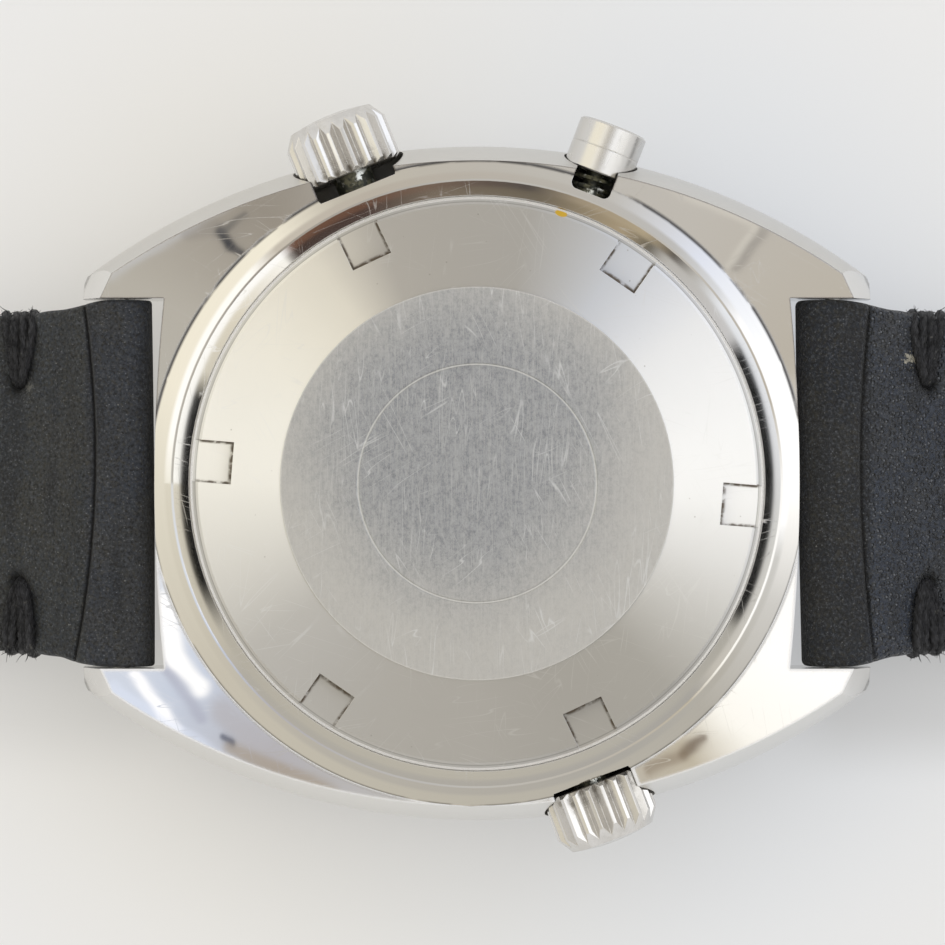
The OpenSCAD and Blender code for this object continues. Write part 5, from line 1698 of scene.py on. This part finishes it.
        # The five are parts of rows, so a change in place changes rows too.
        x, y, low, high, mark = rows
        bow = self.set_in * (1 - (y / half[0]) ** 2)
        x += (self.lean * y - self.ahead - bow) * (1 - ease((x - 1.0) / 4.0))
        if not self.tipped:
            swell = self.end_swell * ease((x - (self.length - 5.0)) / 5.0)
            low -= swell
            high += swell
            fold = self.thin_t / 2 + self.end_swell - drop * self.edge_r
            middle = self.lift + self.thin_t / 2
            end = self._fold(np.linspace(0.0, 90.0, 13)[1:], fold, self.length, middle, y[-1])
            x, y, low, high, mark = np.concatenate([rows, end], axis=1)
        ring_x = np.hstack([x, x[:, ::-1]])
        ring_y = np.hstack([y, y[:, ::-1]])
        ring_z = np.hstack([low, high[:, ::-1]])
        ring_mark = np.hstack([mark * 0.0, mark[:, ::-1]])
        points = np.stack([self.side * (self.bar_x + ring_x), ring_y, ring_z], axis=-1).reshape(-1, 3)
        faces = grid_quads(*ring_x.shape, True)
        piece = make_piece(self.name, points, faces, self.material, 50.0, ring_mark.ravel())
        self._cut(piece)
        self.workshop.place(piece, self.body, Slot.LEATHER, self.node)
        return piece

    @staticmethod
    def _fold(turns: Array, radius: Array, x: float, z: float, y: Array) -> Array:
        """Rows of a quarter of a fold, where the two sides meet at 90 degrees.

        Args:
            turns: degrees of the rows.
            radius: the fold's radius in each column.
            x: place of its axis from the spring bar.
            z: height of its axis.
            y: distance of each column from the middle.

        Returns:
            The rows' x, y, lower height, upper height and seam value.
        """
        arc = np.radians(turns)[:, None]
        out = radius * np.sin(arc)
        up = radius * np.cos(arc)
        return np.stack([x + out, np.repeat(y[None], len(arc), 0), z - up, z + up, np.zeros_like(out)])

    def _cut(self, piece: Object) -> None:
        """Cuts the tongue's holes or slot, as the CAD solid has them.

        Args:
            piece: the leather shell.
        """
        cutter = self._holes() if self.tipped else self._slot()
        modifier = piece.modifiers.new("holes", "BOOLEAN")
        modifier.operation = "DIFFERENCE"
        modifier.solver = "EXACT"
        modifier.object = cutter
        depsgraph = bpy.context.evaluated_depsgraph_get()
        cut = bpy.data.meshes.new_from_object(piece.evaluated_get(depsgraph))
        piece.modifiers.clear()
        piece.data = cut
        piece.data.name = piece.name
        smooth(cut, 50.0)
        bpy.data.objects.remove(cutter)

    def _holes(self) -> Object:
        """An upright cylinder for each of the tongue's holes.

        Returns:
            The body to cut with.
        """
        sides = 32
        turn = np.radians(np.arange(sides) * 360 / sides)
        numbers = np.arange(self.holes)
        places = self.bar_x + self.length - self.hole_from_tip - numbers * self.hole_pitch
        grid = np.zeros((self.holes, 2, sides, 3))
        grid[..., 0] = self.side * (places[:, None, None] + self.hole_r * np.cos(turn))
        grid[..., 1] = self.hole_r * np.sin(turn)
        grid[..., 2] = np.array([-3.0, 9.0])[None, :, None]
        starts = (numbers * 2 * sides)[:, None, None]
        walls = (grid_quads(2, sides, True)[None] + starts).reshape(-1, 4).tolist()
        low = (np.arange(sides)[None] + starts[:, :, 0]).tolist()
        high = (np.arange(sides)[None] + sides + starts[:, :, 0]).tolist()
        return self._cutter(grid.reshape(-1, 3), walls + low + high)

    def _slot(self) -> Object:
        """The slot that the tongue swings in: a half circle and straight sides past the strap's end.

        Returns:
            The body to cut with.
        """
        r = self.slot_r
        x0 = self.bar_x + self.length - self.slot_l
        turn = np.radians(np.arange(180, 361, 12))
        outline = np.stack([x0 + r + r * np.sin(turn), r * np.cos(turn)], axis=-1)
        outline = np.vstack([outline, [[x0 + 12.0, r], [x0 + 12.0, -r]]])
        count = len(outline)
        low = np.column_stack([outline, np.full(count, -1.0)])
        high = np.column_stack([outline, np.full(count, 12.0)])
        low[:, 0] *= self.side
        high[:, 0] *= self.side
        index = np.arange(count)
        after = (index + 1) % count
        walls = np.stack([index, after, after + count, index + count], axis=-1).tolist()
        return self._cutter(np.vstack([low, high]), walls + [index.tolist(), (index + count).tolist()])

    @staticmethod
    def _cutter(points: Array, faces: list[list[int]]) -> Object:
        """A closed body to cut with.

        Args:
            points: places in millimetres, one row each.
            faces: point numbers of each face.

        Returns:
            The body.
        """
        mesh = bpy.data.meshes.new("cutter")
        mesh.from_pydata((points * MM).tolist(), [], faces)
        tidy_mesh(mesh, 0.0001, True)
        return linked("cutter", mesh)


@dataclass
class ThreadBundle:
    """The waxed thread wrapped over both edges of a strap piece: twisted strands side by side."""

    workshop: Workshop
    strap: StrapPiece
    name: str
    node: str
    strand_r: float = 0.27
    strands: int = 5
    spread: float = 0.4
    lay: float = 1.9
    fibres: int = 60
    fibre_r: float = 0.03
    sides: int = 26
    plies: int = 3

    def path(self, offset: float, phase: float) -> Array:
        """The middle line of one strand, from its hole over the edge and under, at the +Y edge.

        It leaves the hole, lies on the lining, turns round the edge and goes back to the hole from
        below. Two slow sines make it wander.

        Args:
            offset: place along the strap, from the bundle's middle.
            phase: start of the sines.

        Returns:
            Points 0.01 mm to 0.2 mm apart, X counted from the spring bar.
        """
        strap = self.strap
        x = strap.stitch_x + offset
        half = float(strap.half_width(np.array(x)))
        high = float(strap.top(np.array(x))) - 0.42
        low = float(strap.bottom(np.array(x)))
        pull = -0.72 * offset
        stops = np.array(
            [
                [x + pull, half - 4.15, high - 1.3],
                [x + pull, half - 4.05, high - 0.3],
                [x + pull * 0.8, half - 3.55, high + 0.3],
                [x + pull * 0.3, half - 2.2, high + 0.36],
                [x, half - 0.75, high + 0.3],
                [x, half - 0.02, high - 0.25],
                [x, half + 0.14, (high + low) / 2],
                [x, half - 0.02, low + 0.35],
                [x, half - 0.8, low - 0.2],
                [x + pull * 0.3, half - 2.4, low - 0.22],
                [x + pull * 0.8, half - 3.7, low - 0.1],
                [x + pull, half - 4.15, low + 1.3],
            ]
        )
        line = even_path(stops, 120, 0.28)
        share = np.linspace(0.0, 1.0, 120)
        line[:, 0] += 0.16 * np.sin(9.0 * share + 1.7 * phase) * np.sin(np.pi * share)
        line[:, 2] += 0.07 * np.sin(13.0 * share + 2.3 * phase) * np.sin(np.pi * share)
        return line

    @staticmethod
    def frame(line: Array) -> Trio:
        """Unit vectors along a line and two across it.

        Args:
            line: points of the line.

        Returns:
            The vector ahead and both vectors across, for every point.
        """
        ahead = np.gradient(line, axis=0)
        ahead /= np.linalg.norm(ahead, axis=1, keepdims=True)
        across = np.cross(ahead, np.array([1.0, 0.0, 0.0]))
        across /= np.linalg.norm(across, axis=1, keepdims=True)
        return ahead, across, np.cross(ahead, across)

    def strand(self, line: Array, phase: float) -> Trio:
        """One strand round its middle line. Its section has plies that turn with the lay.

        Args:
            line: points of the middle line.
            phase: turn of the plies at the start.

        Returns:
            Points, quads and UV corners.
        """
        ahead, across, third = self.frame(line)
        run = np.concatenate([[0.0], np.cumsum(np.linalg.norm(np.diff(line, axis=0), axis=1))])
        turn = np.arange(self.sides) * 2 * np.pi / self.sides
        wound = turn[None, :] - 2 * np.pi * run[:, None] / self.lay + phase
        ply = np.abs(np.cos(self.plies / 2 * wound))
        ends = np.sqrt(np.clip(np.minimum(run, run[-1] - run) / 0.3, 0.0, 1.0))[:, None]
        radius = self.strand_r * (0.74 + 0.34 * ply**0.8) * np.maximum(ends, 0.02)
        ring = np.cos(turn)[:, None] * across[:, None, :] + np.sin(turn)[:, None] * third[:, None, :]
        points = line[:, None, :] + radius[..., None] * ring
        quads, corner = tube_quads(len(line), self.sides)
        uv = np.stack([run[corner[:, 0]], corner[:, 1] / self.sides * 2.6], axis=-1)
        return points.reshape(-1, 3), quads, uv

    def fibre(self, line: Array, chance: np.random.Generator) -> Trio:
        """A loose fibre that starts on a strand and leaves it at a small angle.

        Its middle line is a parabola: ahead by t, aside by a share of t, outwards by a share of t
        squared. It thins towards its end.

        Args:
            line: points of the strand's middle line.
            chance: source of the fibre's place, direction and length.

        Returns:
            Points, quads and UV corners.
        """
        ahead, across, third = self.frame(line)
        index = int(chance.integers(12, 62))
        turn = chance.uniform(0.0, 2 * np.pi)
        outward = np.cos(turn) * across[index] + np.sin(turn) * third[index]
        aside = np.cross(ahead[index], outward)
        length = chance.uniform(0.25, 0.9)
        way = chance.choice([-1.0, 1.0])
        steps = np.linspace(0.0, length, 7)[:, None]
        middle = line[index] + self.strand_r * outward
        middle = middle + way * steps * ahead[index] + chance.uniform(-0.9, 0.9) * steps * aside
        middle = middle + (chance.uniform(-0.2, 0.5) * steps**2 + 0.02) * outward
        thin = self.fibre_r * (1.0 - 0.7 * steps / length)
        around = np.arange(5) * 2 * np.pi / 5
        ring = np.cos(around)[:, None] * outward + np.sin(around)[:, None] * aside
        points = middle[:, None, :] + thin[..., None] * ring[None]
        quads, corner = tube_quads(7, 5)
        uv = np.stack([corner[:, 0] * 0.2, corner[:, 1] * 0.5], axis=-1)
        return points.reshape(-1, 3), quads, uv

    def build(self) -> None:
        """Makes both bundles of the strap piece as one piece."""
        chance = np.random.default_rng(7)
        points, quads, runs = [], [], []
        count = 0
        middle = (self.strands - 1) / 2
        for edge in (1.0, -1.0):
            for index in range(self.strands):
                offset = (index - middle) * self.spread + 0.05 * edge
                phase = 1.1 * index + edge
                line = self.path(offset, phase)
                parts = [self.strand(line, phase)]
                parts += [self.fibre(line, chance) for _ in range(self.fibres)]
                for placed, faces, run in parts:
                    placed[:, 0] = self.strap.side * (self.strap.bar_x + placed[:, 0])
                    placed[:, 1] *= edge
                    points.append(placed)
                    quads.append(faces + count)
                    runs.append(run)
                    count += len(placed)
        material = WaxedThread().make()
        run = np.vstack(runs)
        piece = make_piece(self.name, np.vstack(points), np.vstack(quads), material, 60.0, run=run)
        self.workshop.place(piece, self.strap.body, Slot.THREAD, self.node)


@dataclass
class Keeper:
    """A leather loop round both layers of the strap."""

    workshop: Workshop
    name: str
    node: str
    body: str
    at: float
    gap: float
    material: Material
    wide: float = 5.0
    thick: float = 1.0
    inner_w: float = 18.0
    inner_top: float = 5.9
    corner_r: float = 0.75
    edge_r: float = 0.28

    def build(self) -> None:
        """Sweeps a rounded strip section round a rounded rectangle.

        The path's corners are quarter circles. The section is a rectangle whose corners are quarter
        circles, wide along X and thick across the path.
        """
        half = self.inner_w / 2 + self.gap + self.thick / 2
        high = self.inner_top + self.gap + self.thick / 2
        low = self.thick / 2
        corner = self.corner_r
        turn = np.radians(np.linspace(0.0, 90.0, 9))[None, :] + np.arange(4)[:, None] * np.pi / 2
        normals = np.stack([np.cos(turn), np.sin(turn)], axis=-1)
        centres = [[half - corner, high - corner], [corner - half, high - corner]]
        centres += [[corner - half, low + corner], [half - corner, low + corner]]
        arcs = np.array(centres)[:, None, :] + corner * normals
        path, out = self._filled(arcs.reshape(-1, 2), normals.reshape(-1, 2))
        r = self.edge_r
        section_x, section_n = [], []
        for k, (sx, sn) in enumerate([(1, 1), (-1, 1), (-1, -1), (1, -1)]):
            quarter = np.radians(np.linspace(0.0, 90.0, 5)) + k * np.pi / 2
            section_x.append(sx * (self.wide / 2 - r) + r * np.cos(quarter))
            section_n.append(sn * (self.thick / 2 - r) + r * np.sin(quarter))
        across = np.concatenate(section_x)[None, :]
        lift = np.concatenate(section_n)[None, :]
        along = np.repeat(self.at + across, len(path), 0)
        y, z = (path[:, k, None] + out[:, k, None] * lift for k in range(2))
        points = np.stack([along, y, z], axis=-1)
        rows, columns = points.shape[:2]
        quads = grid_quads(rows + 1, columns, True) % (rows * columns)
        piece = make_piece(self.name, points.reshape(-1, 3), quads, self.material, 50.0)
        self.workshop.place(piece, self.body, Slot.LEATHER, self.node)

    @staticmethod
    def _filled(places: Array, normals: Array) -> Pair:
        """Adds points on the straight runs of the closed path, one about every millimetre.

        Args:
            places: points of the path.
            normals: its outward directions there.

        Returns:
            The points and directions of the filled path.
        """
        closed = np.vstack([places, places[:1]])
        directions = np.vstack([normals, normals[:1]])
        run = np.concatenate([[0.0], np.cumsum(np.linalg.norm(np.diff(closed, axis=0), axis=1))])
        wanted = np.unique(np.concatenate([run, np.arange(0.0, run[-1], 1.0)]))[:-1]
        path = np.stack([np.interp(wanted, run, closed[:, k]) for k in range(2)], axis=-1)
        out = np.stack([np.interp(wanted, run, directions[:, k]) for k in range(2)], axis=-1)
        return path, out / np.linalg.norm(out, axis=1, keepdims=True)


@dataclass
class Strap:
    """Both strap pieces with their thread, keepers and buckle."""

    workshop: Workshop

    def build(self) -> None:
        """Makes the leather, the thread and the keepers, and dresses the buckle."""
        cool = StrapLeather(
            "lining_leather_12",
            fold=(0.0115, 0.0135, 0.0185),
            lining=(0.0215, 0.0295, 0.0485),
            pebble=1.5,
            depth=0.14,
            gloss_and_painted_glints=0.33,
            scuff=(26.0, 7.45),
            scuff_r=0.34,
            pale=(0.36, 0.34, 0.28),
        ).make()
        warm = StrapLeather(
            "lining_leather_6", fold=(0.028, 0.032, 0.042), lining=(0.0275, 0.031, 0.0345)
        ).make()
        right = StrapPiece(
            self.workshop,
            name="buckle_strap",
            node="strap_12",
            body="strap_12",
            side=1.0,
            length=77.0,
            lift=3.5,
            seams=(Seam(at=1.68, bow=0.0059, centre=0.0, step=0.1, groove=0.2, width=0.11),),
            material=cool,
            tipped=False,
            lean=-0.018,
            ahead=0.12,
            set_in=0.04,
            fold_edge_r=0.34,
            stitch_x=5.75,
        )
        left = StrapPiece(
            self.workshop,
            name="long_strap",
            node="strap_6",
            body="strap_6",
            side=-1.0,
            length=115.0,
            lift=0.0,
            seams=(
                Seam(at=1.45, bow=0.0078, centre=2.2, step=0.08, groove=0.26, width=0.1),
                Seam(at=2.75, bow=0.0085, centre=2.0, step=0.1, groove=0.04, width=0.3),
            ),
            material=warm,
            tipped=True,
            lean=0.008,
            set_in=0.06,
        )
        right.build()
        left.build()
        ThreadBundle(self.workshop, right, "thread_12", "stitches_12").build()
        ThreadBundle(self.workshop, left, "thread_6", "stitches_6").build()
        keepers = [
            Keeper(self.workshop, "fixed_loop", "fixed_keeper", "strap_12", 92.0, 0.0, cool),
            Keeper(self.workshop, "free_loop", "sliding_keeper", "sliding_keeper", 82.0, 0.15, cool),
        ]
        for keeper in keepers:
            keeper.build()
        skin = self.workshop.skin
        polish = PolishedSteel("buckle_polish", roughness=0.11, edge=0.15).make()
        skin("buckle_frame", "pin_buckle", "buckle_frame", Slot.POLISHED, [polish])
        skin("buckle_tongue", "pin_tongue", "buckle_tongue", Slot.POLISHED, [polish])


# Light from just outside the watch, as the rim's slopes mirror it: degrees round the watch, colour.
ROOM_NEAR: Stops = [
    (-180, (0.62, 0.59, 0.50)),
    (-150, (0.50, 0.47, 0.40)),
    (-120, (0.41, 0.39, 0.35)),
    (-60, (0.36, 0.35, 0.325)),
    (-38, (0.40, 0.385, 0.35)),
    (-14, (0.55, 0.55, 0.54)),
    (-7, (0.95, 0.96, 0.98)),
    (30, (0.95, 0.96, 0.99)),
    (38, (0.62, 0.64, 0.68)),
    (50, (0.45, 0.45, 0.45)),
    (75, (0.42, 0.40, 0.37)),
    (110, (0.42, 0.385, 0.335)),
    (131, (0.50, 0.46, 0.40)),
    (137, (0.93, 0.92, 0.88)),
    (170, (0.95, 0.94, 0.91)),
    (180, (0.78, 0.76, 0.68)),
]
# Light from further out, as satin and steep faces mirror it.
ROOM: Stops = [
    (-180, (0.66, 0.63, 0.54)),
    (-144, (0.50, 0.47, 0.40)),
    (-90, (0.43, 0.41, 0.36)),
    (-45, (0.39, 0.375, 0.34)),
    (-22, (0.55, 0.545, 0.53)),
    (0, (1.0, 1.0, 1.0)),
    (22, (0.95, 0.97, 1.0)),
    (45, (0.66, 0.70, 0.80)),
    (65, (0.46, 0.45, 0.43)),
    (90, (0.44, 0.42, 0.385)),
    (116, (0.46, 0.43, 0.37)),
    (130, (0.78, 0.74, 0.63)),
    (162, (0.78, 0.74, 0.63)),
    (180, (0.66, 0.63, 0.54)),
]
# Light that the inner half of the rim's crest mirrors.
CREST_IN: Stops = [
    (-180, (0.0, 0.0, 0.0)),
    (-160, (0.0, 0.0, 0.0)),
    (-150, (0.40, 0.38, 0.33)),
    (-90, (0.42, 0.40, 0.35)),
    (-30, (0.36, 0.35, 0.32)),
    (-26, (0.0, 0.0, 0.0)),
    (26, (0.0, 0.0, 0.0)),
    (30, (0.50, 0.50, 0.51)),
    (50, (0.42, 0.41, 0.39)),
    (54, (0.10, 0.09, 0.07)),
    (60, (0.33, 0.27, 0.18)),
    (78, (0.13, 0.11, 0.08)),
    (98, (0.16, 0.13, 0.10)),
    (112, (0.06, 0.04, 0.035)),
    (129, (0.05, 0.035, 0.03)),
    (130.5, (0.85, 0.84, 0.80)),
    (145, (0.62, 0.58, 0.48)),
    (158, (0.55, 0.52, 0.44)),
    (163, (0.0, 0.0, 0.0)),
    (180, (0.0, 0.0, 0.0)),
]
# Light that the outer half of the rim's crest mirrors.
CREST_OUT: Stops = [
    (-180, (0.60, 0.57, 0.49)),
    (-150, (0.48, 0.45, 0.38)),
    (-140, (0.38, 0.365, 0.33)),
    (-60, (0.35, 0.34, 0.32)),
    (-44, (0.34, 0.33, 0.31)),
    (-38, (0.48, 0.46, 0.42)),
    (-8, (0.58, 0.585, 0.58)),
    (10, (0.66, 0.68, 0.72)),
    (36, (0.70, 0.73, 0.78)),
    (44, (0.40, 0.39, 0.37)),
    (49, (0.09, 0.08, 0.07)),
    (56, (0.38, 0.32, 0.22)),
    (70, (0.30, 0.25, 0.18)),
    (80, (0.07, 0.06, 0.055)),
    (100, (0.15, 0.105, 0.08)),
    (112, (0.12, 0.065, 0.045)),
    (128, (0.14, 0.075, 0.05)),
    (130.5, (0.90, 0.90, 0.90)),
    (180, (0.88, 0.88, 0.85)),
]
# Light that the lug backs mirror, under the streaks.
LUGS: Stops = [
    (-180, (0.62, 0.63, 0.64)),
    (-160, (0.62, 0.66, 0.74)),
    (-145, (0.50, 0.55, 0.66)),
    (-125, (0.40, 0.395, 0.42)),
    (-90, (0.45, 0.44, 0.42)),
    (-65, (0.44, 0.41, 0.36)),
    (-52, (0.46, 0.42, 0.34)),
    (-43, (0.86, 0.85, 0.81)),
    (-30, (0.92, 0.92, 0.92)),
    (0, (0.88, 0.88, 0.88)),
    (20, (0.42, 0.39, 0.34)),
    (50, (0.45, 0.43, 0.40)),
    (90, (0.44, 0.43, 0.41)),
    (128, (0.265, 0.24, 0.205)),
    (150, (0.40, 0.38, 0.34)),
    (180, (0.42, 0.41, 0.38)),
]
# Streaks in the lug backs: start, end, reach, strength and colour.
STREAKS: list[tuple[Place, Place, float, float, Colour]] = [
    ((-21.8, 12.6), (-14.0, 17.6), 0.8, 0.6, (0.50, 0.51, 0.54)),
    ((-17.2, 15.0), (-15.5, 15.3), 0.75, 0.4, (0.22, 0.205, 0.19)),
    ((-15.2, 15.1), (-14.7, 14.2), 0.46, 0.95, (0.02, 0.024, 0.035)),
    ((-15.2, 15.1), (-13.8, 16.0), 0.3, 0.85, (0.08, 0.08, 0.085)),
    ((-14.7, 14.2), (-13.8, 13.7), 0.36, 0.9, (0.04, 0.042, 0.05)),
    ((-14.4, 15.2), (-11.0, 17.6), 1.0, 0.35, (0.26, 0.24, 0.21)),
    ((10.5, 18.2), (17.3, 15.2), 0.55, 0.5, (0.60, 0.58, 0.53)),
    ((17.3, 15.2), (15.4, 12.9), 0.5, 0.55, (0.20, 0.19, 0.18)),
    ((16.6, 15.0), (15.0, 13.0), 0.35, 0.5, (0.60, 0.58, 0.53)),
    ((-18.6, -7.0), (-18.0, -10.4), 0.95, 0.95, (0.97, 0.97, 0.98)),
    ((-18.0, -10.4), (-16.4, -12.2), 0.8, 0.95, (0.97, 0.97, 0.98)),
    ((-20.4, -11.4), (-18.6, -13.6), 0.5, 0.95, (0.97, 0.97, 1.0)),
    ((-18.6, -13.6), (-17.9, -14.6), 0.6, 0.95, (0.97, 0.97, 1.0)),
    ((-21.6, -12.2), (-14.5, -16.6), 0.55, 0.6, (0.66, 0.72, 0.86)),
    ((-19.2, -10.2), (-16.4, -13.8), 0.5, 0.6, (0.34, 0.35, 0.44)),
    ((-15.2, -13.4), (-11.0, -17.0), 1.1, 0.7, (0.40, 0.39, 0.42)),
    ((-14.6, -15.7), (-8.6, -18.4), 0.7, 0.75, (0.33, 0.28, 0.22)),
    ((-15.1, -15.0), (-14.5, -15.4), 0.3, 0.9, (0.05, 0.06, 0.10)),
    ((13.4, -15.2), (12.2, -16.0), 0.45, 0.85, (0.12, 0.085, 0.06)),
    ((12.2, -16.0), (10.2, -17.0), 0.5, 0.6, (0.20, 0.155, 0.11)),
]


@dataclass
class Studio:
    """Pale table, soft light overhead and the photograph's camera."""

    eye: tuple[float, float, float] = (-0.265, 0.647, 292.5)
    lens: float = 181.3
    ceiling_z: float = 300.0
    ceiling_half: float = 600.0
    mirror: float = 2.0266
    arch: float = 1.26

    def build(self) -> None:
        """Makes the camera, the floor, the ceiling light and the world."""
        self._camera()
        self._floor()
        self._ceiling()
        self._world()
        scene = bpy.context.scene
        scene.view_settings.view_transform = "Standard"

    def _camera(self) -> None:
        """A camera straight over the watch."""
        data = bpy.data.cameras.new("camera")
        data.lens = self.lens
        data.sensor_width = 36.0
        data.clip_start = 0.01
        data.clip_end = 20.0
        camera = linked("camera", data)
        camera.location = shade(self.eye, MM)
        bpy.context.scene.camera = camera

    @staticmethod
    def _sheet(name: str, half: float, height: float, down: bool) -> Object:
        """A square sheet of the studio.

        Args:
            name: its name.
            half: half its side.
            height: its place along Z.
            down: whether it faces down.

        Returns:
            The sheet.
        """
        mesh = bpy.data.meshes.new(name)
        corners = np.array([[-1, -1], [1, -1], [1, 1], [-1, 1]], float) * half
        points = np.column_stack([corners, np.full(4, height)]) * MM
        face = [[3, 2, 1, 0]] if down else [[0, 1, 2, 3]]
        mesh.from_pydata(points.tolist(), [], face)
        sheet = linked(name, mesh)
        return sheet

    def _floor(self) -> None:
        """Pale paper. It shows from above only, and lets soft light through from below.

        Half of its paleness is a glow that only the camera, reflections and glass see. Its colour
        carries painted shadows below the watch and along the straps' -Y edges, and painted warm and cool
        light near the watch.
        """
        floor = self._sheet("table", 3000.0, -0.02, False)
        paint = Paint("table_paper")
        # Painted light: a warm tint on the -X side and a cool one on the +X side, near the watch.
        near = paint.between(paint.away(), 44.0, 22.0)
        side = paint.between(paint.x, -22.0, 22.0)
        # Painted shadow below the watch, towards -Y.
        shadow_x = paint.x * 0.7
        shadow_y = paint.y + 12.0
        low = paint.between((shadow_x * shadow_x + shadow_y * shadow_y).root(), 22.0, 6.0)
        # Painted shadow along the straps' -Y edges, beside the case.
        strap_edge_shadow = paint.between(abs(paint.x), 17.0, 23.0) * paint.between(abs(paint.x), 48.0, 28.0)
        strap_edge_shadow = strap_edge_shadow * paint.between(abs(paint.y + 12.5), 6.5, 1.5)
        light_tint = paint.mix(side, (0.84, 0.82, 0.775), (0.79, 0.82, 0.865))
        tone = paint.mix(near * 0.8, (0.87, 0.87, 0.875), light_tint)
        tone = paint.mix(low * 0.6, tone, (0.68, 0.675, 0.67))
        tone = paint.mix(strap_edge_shadow * (side * 0.35 + 0.3), tone, (0.60, 0.60, 0.60))
        grain = paint.cloud(0.8, 3.0)
        settings = {"data_type": "RGBA", "blend_type": "MULTIPLY"}
        dimmed = paint.node("Mix", settings, {0: 1.0, 6: tone, 7: (0.5, 0.5, 0.5)}, 2)
        values = {
            "Base Color": dimmed,
            "Roughness": grain * 0.1 + 0.85,
            "Emission Color": tone,
            "Emission Strength": 0.5,
            "Specular IOR Level": 0.1,
        }
        paper = paint.node("BsdfPrincipled", {}, values)
        clear = paint.node("BsdfTransparent", {}, {})
        path = paint.node("LightPath", {}, {})
        outputs = path.socket.node.outputs
        names = ("Is Camera Ray", "Is Glossy Ray", "Is Transmission Ray")
        seen, glossy, through = (Wire(paint, outputs[name]) for name in names)
        behind = paint.node("NewGeometry", {}, {}, "Backfacing")
        shown = seen.most(glossy).most(through) * (1.0 - behind)
        both = paint.node("MixShader", {}, {0: shown, 1: clear, 2: paper})
        floor.data.materials.append(paint.ended(both))

    def _ceiling(self) -> None:
        """A broad soft light overhead. Its tints are the room that the polished steel mirrors.

        A place on the ceiling, over mirror, is the place on the watch whose flat polished face shows it
        to the camera. So the rings from 17 to 18.1 mm show in the rim's crest, the ones from 19 to
        26 mm in the lug backs, whose arch stretches them along X, and the wide rest in slopes and
        satin faces.
        """
        ceiling = self._sheet("soft_light", self.ceiling_half, self.ceiling_z, True)
        ceiling.visible_camera = False
        paint = Paint("soft_light_cloth")
        x = (paint.x + (self.mirror - 1.0) * self.eye[0]) / self.mirror
        y = (paint.y + (self.mirror - 1.0) * self.eye[1]) / self.mirror
        away = (x * x + y * y).root()
        turn = y.angle_of(x) * (0.5 / math.pi) + 0.5
        room_near, room, crest_in, crest_out = (
            paint.ramp(turn, self._turns(stops)) for stops in (ROOM_NEAR, ROOM, CREST_IN, CREST_OUT)
        )
        wide = paint.mix(paint.between(away, 60.0, 95.0), room_near, room)
        crest = paint.mix(paint.between(away, 17.5, 17.7), crest_in, crest_out)
        lug_x = x / self.arch
        lug_away = (lug_x * lug_x + y * y).root()
        lug_turn = y.angle_of(lug_x) * (0.5 / math.pi) + 0.5
        lugs = paint.ramp(lug_turn, self._turns(LUGS))
        for start, end, reach, share, light_tint in STREAKS:
            lugs = paint.mix(self._streak(paint, lug_x, y, start, end, reach) * share, lugs, light_tint)
        colour = paint.mix(paint.between(away, 16.7, 16.95), (0.55, 0.54, 0.53), crest)
        colour = paint.mix(paint.between(lug_away, 18.3, 18.8), colour, lugs)
        colour = paint.mix(paint.between(lug_away, 26.5, 33.0), colour, wide)
        light = paint.node("Emission", {}, {"Color": colour, "Strength": 1.6})
        ceiling.data.materials.append(paint.ended(light))

    @staticmethod
    def _streak(paint: Paint, x: Wire, y: Wire, start: Place, end: Place, reach: float) -> Wire:
        """A soft streak along a straight line.

        Args:
            paint: the material.
            x: place along X.
            y: place along Y.
            start: the line's start.
            end: the line's end.
            reach: distance from the line at which the streak ends.

        Returns:
            1 on the line and 0 from reach away.
        """
        length = math.hypot(end[0] - start[0], end[1] - start[1])
        ux = (end[0] - start[0]) / length
        uy = (end[1] - start[1]) / length
        over_x = x - start[0]
        over_y = y - start[1]
        along = (over_x * ux + over_y * uy).most(0.0).least(length)
        off_x = over_x - along * ux
        off_y = over_y - along * uy
        return paint.between((off_x * off_x + off_y * off_y).root(), reach, reach * 0.25)

    @staticmethod
    def _turns(stops: Stops) -> Stops:
        """Stops at degrees from -180 to 180 as stops from 0 to 1."""
        return [(degrees / 360.0 + 0.5, colour) for degrees, colour in stops]

    @staticmethod
    def _world() -> None:
        """Pale even surroundings."""
        world = bpy.data.worlds.new("surroundings")
        world.use_nodes = True
        background = world.node_tree.nodes["Background"]
        background.inputs["Color"].default_value = (0.88, 0.875, 0.87, 1.0)
        background.inputs["Strength"].default_value = 1.0
        bpy.context.scene.world = world


def main() -> None:
    """Builds the watch and its studio."""
    logging.basicConfig(level=logging.INFO, format="%(message)s")
    workshop = Workshop(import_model())
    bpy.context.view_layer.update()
    Studio().build()
    Case(workshop).build()
    Head(workshop).build()
    Strap(workshop).build()


if __name__ == "__main__":
    main()
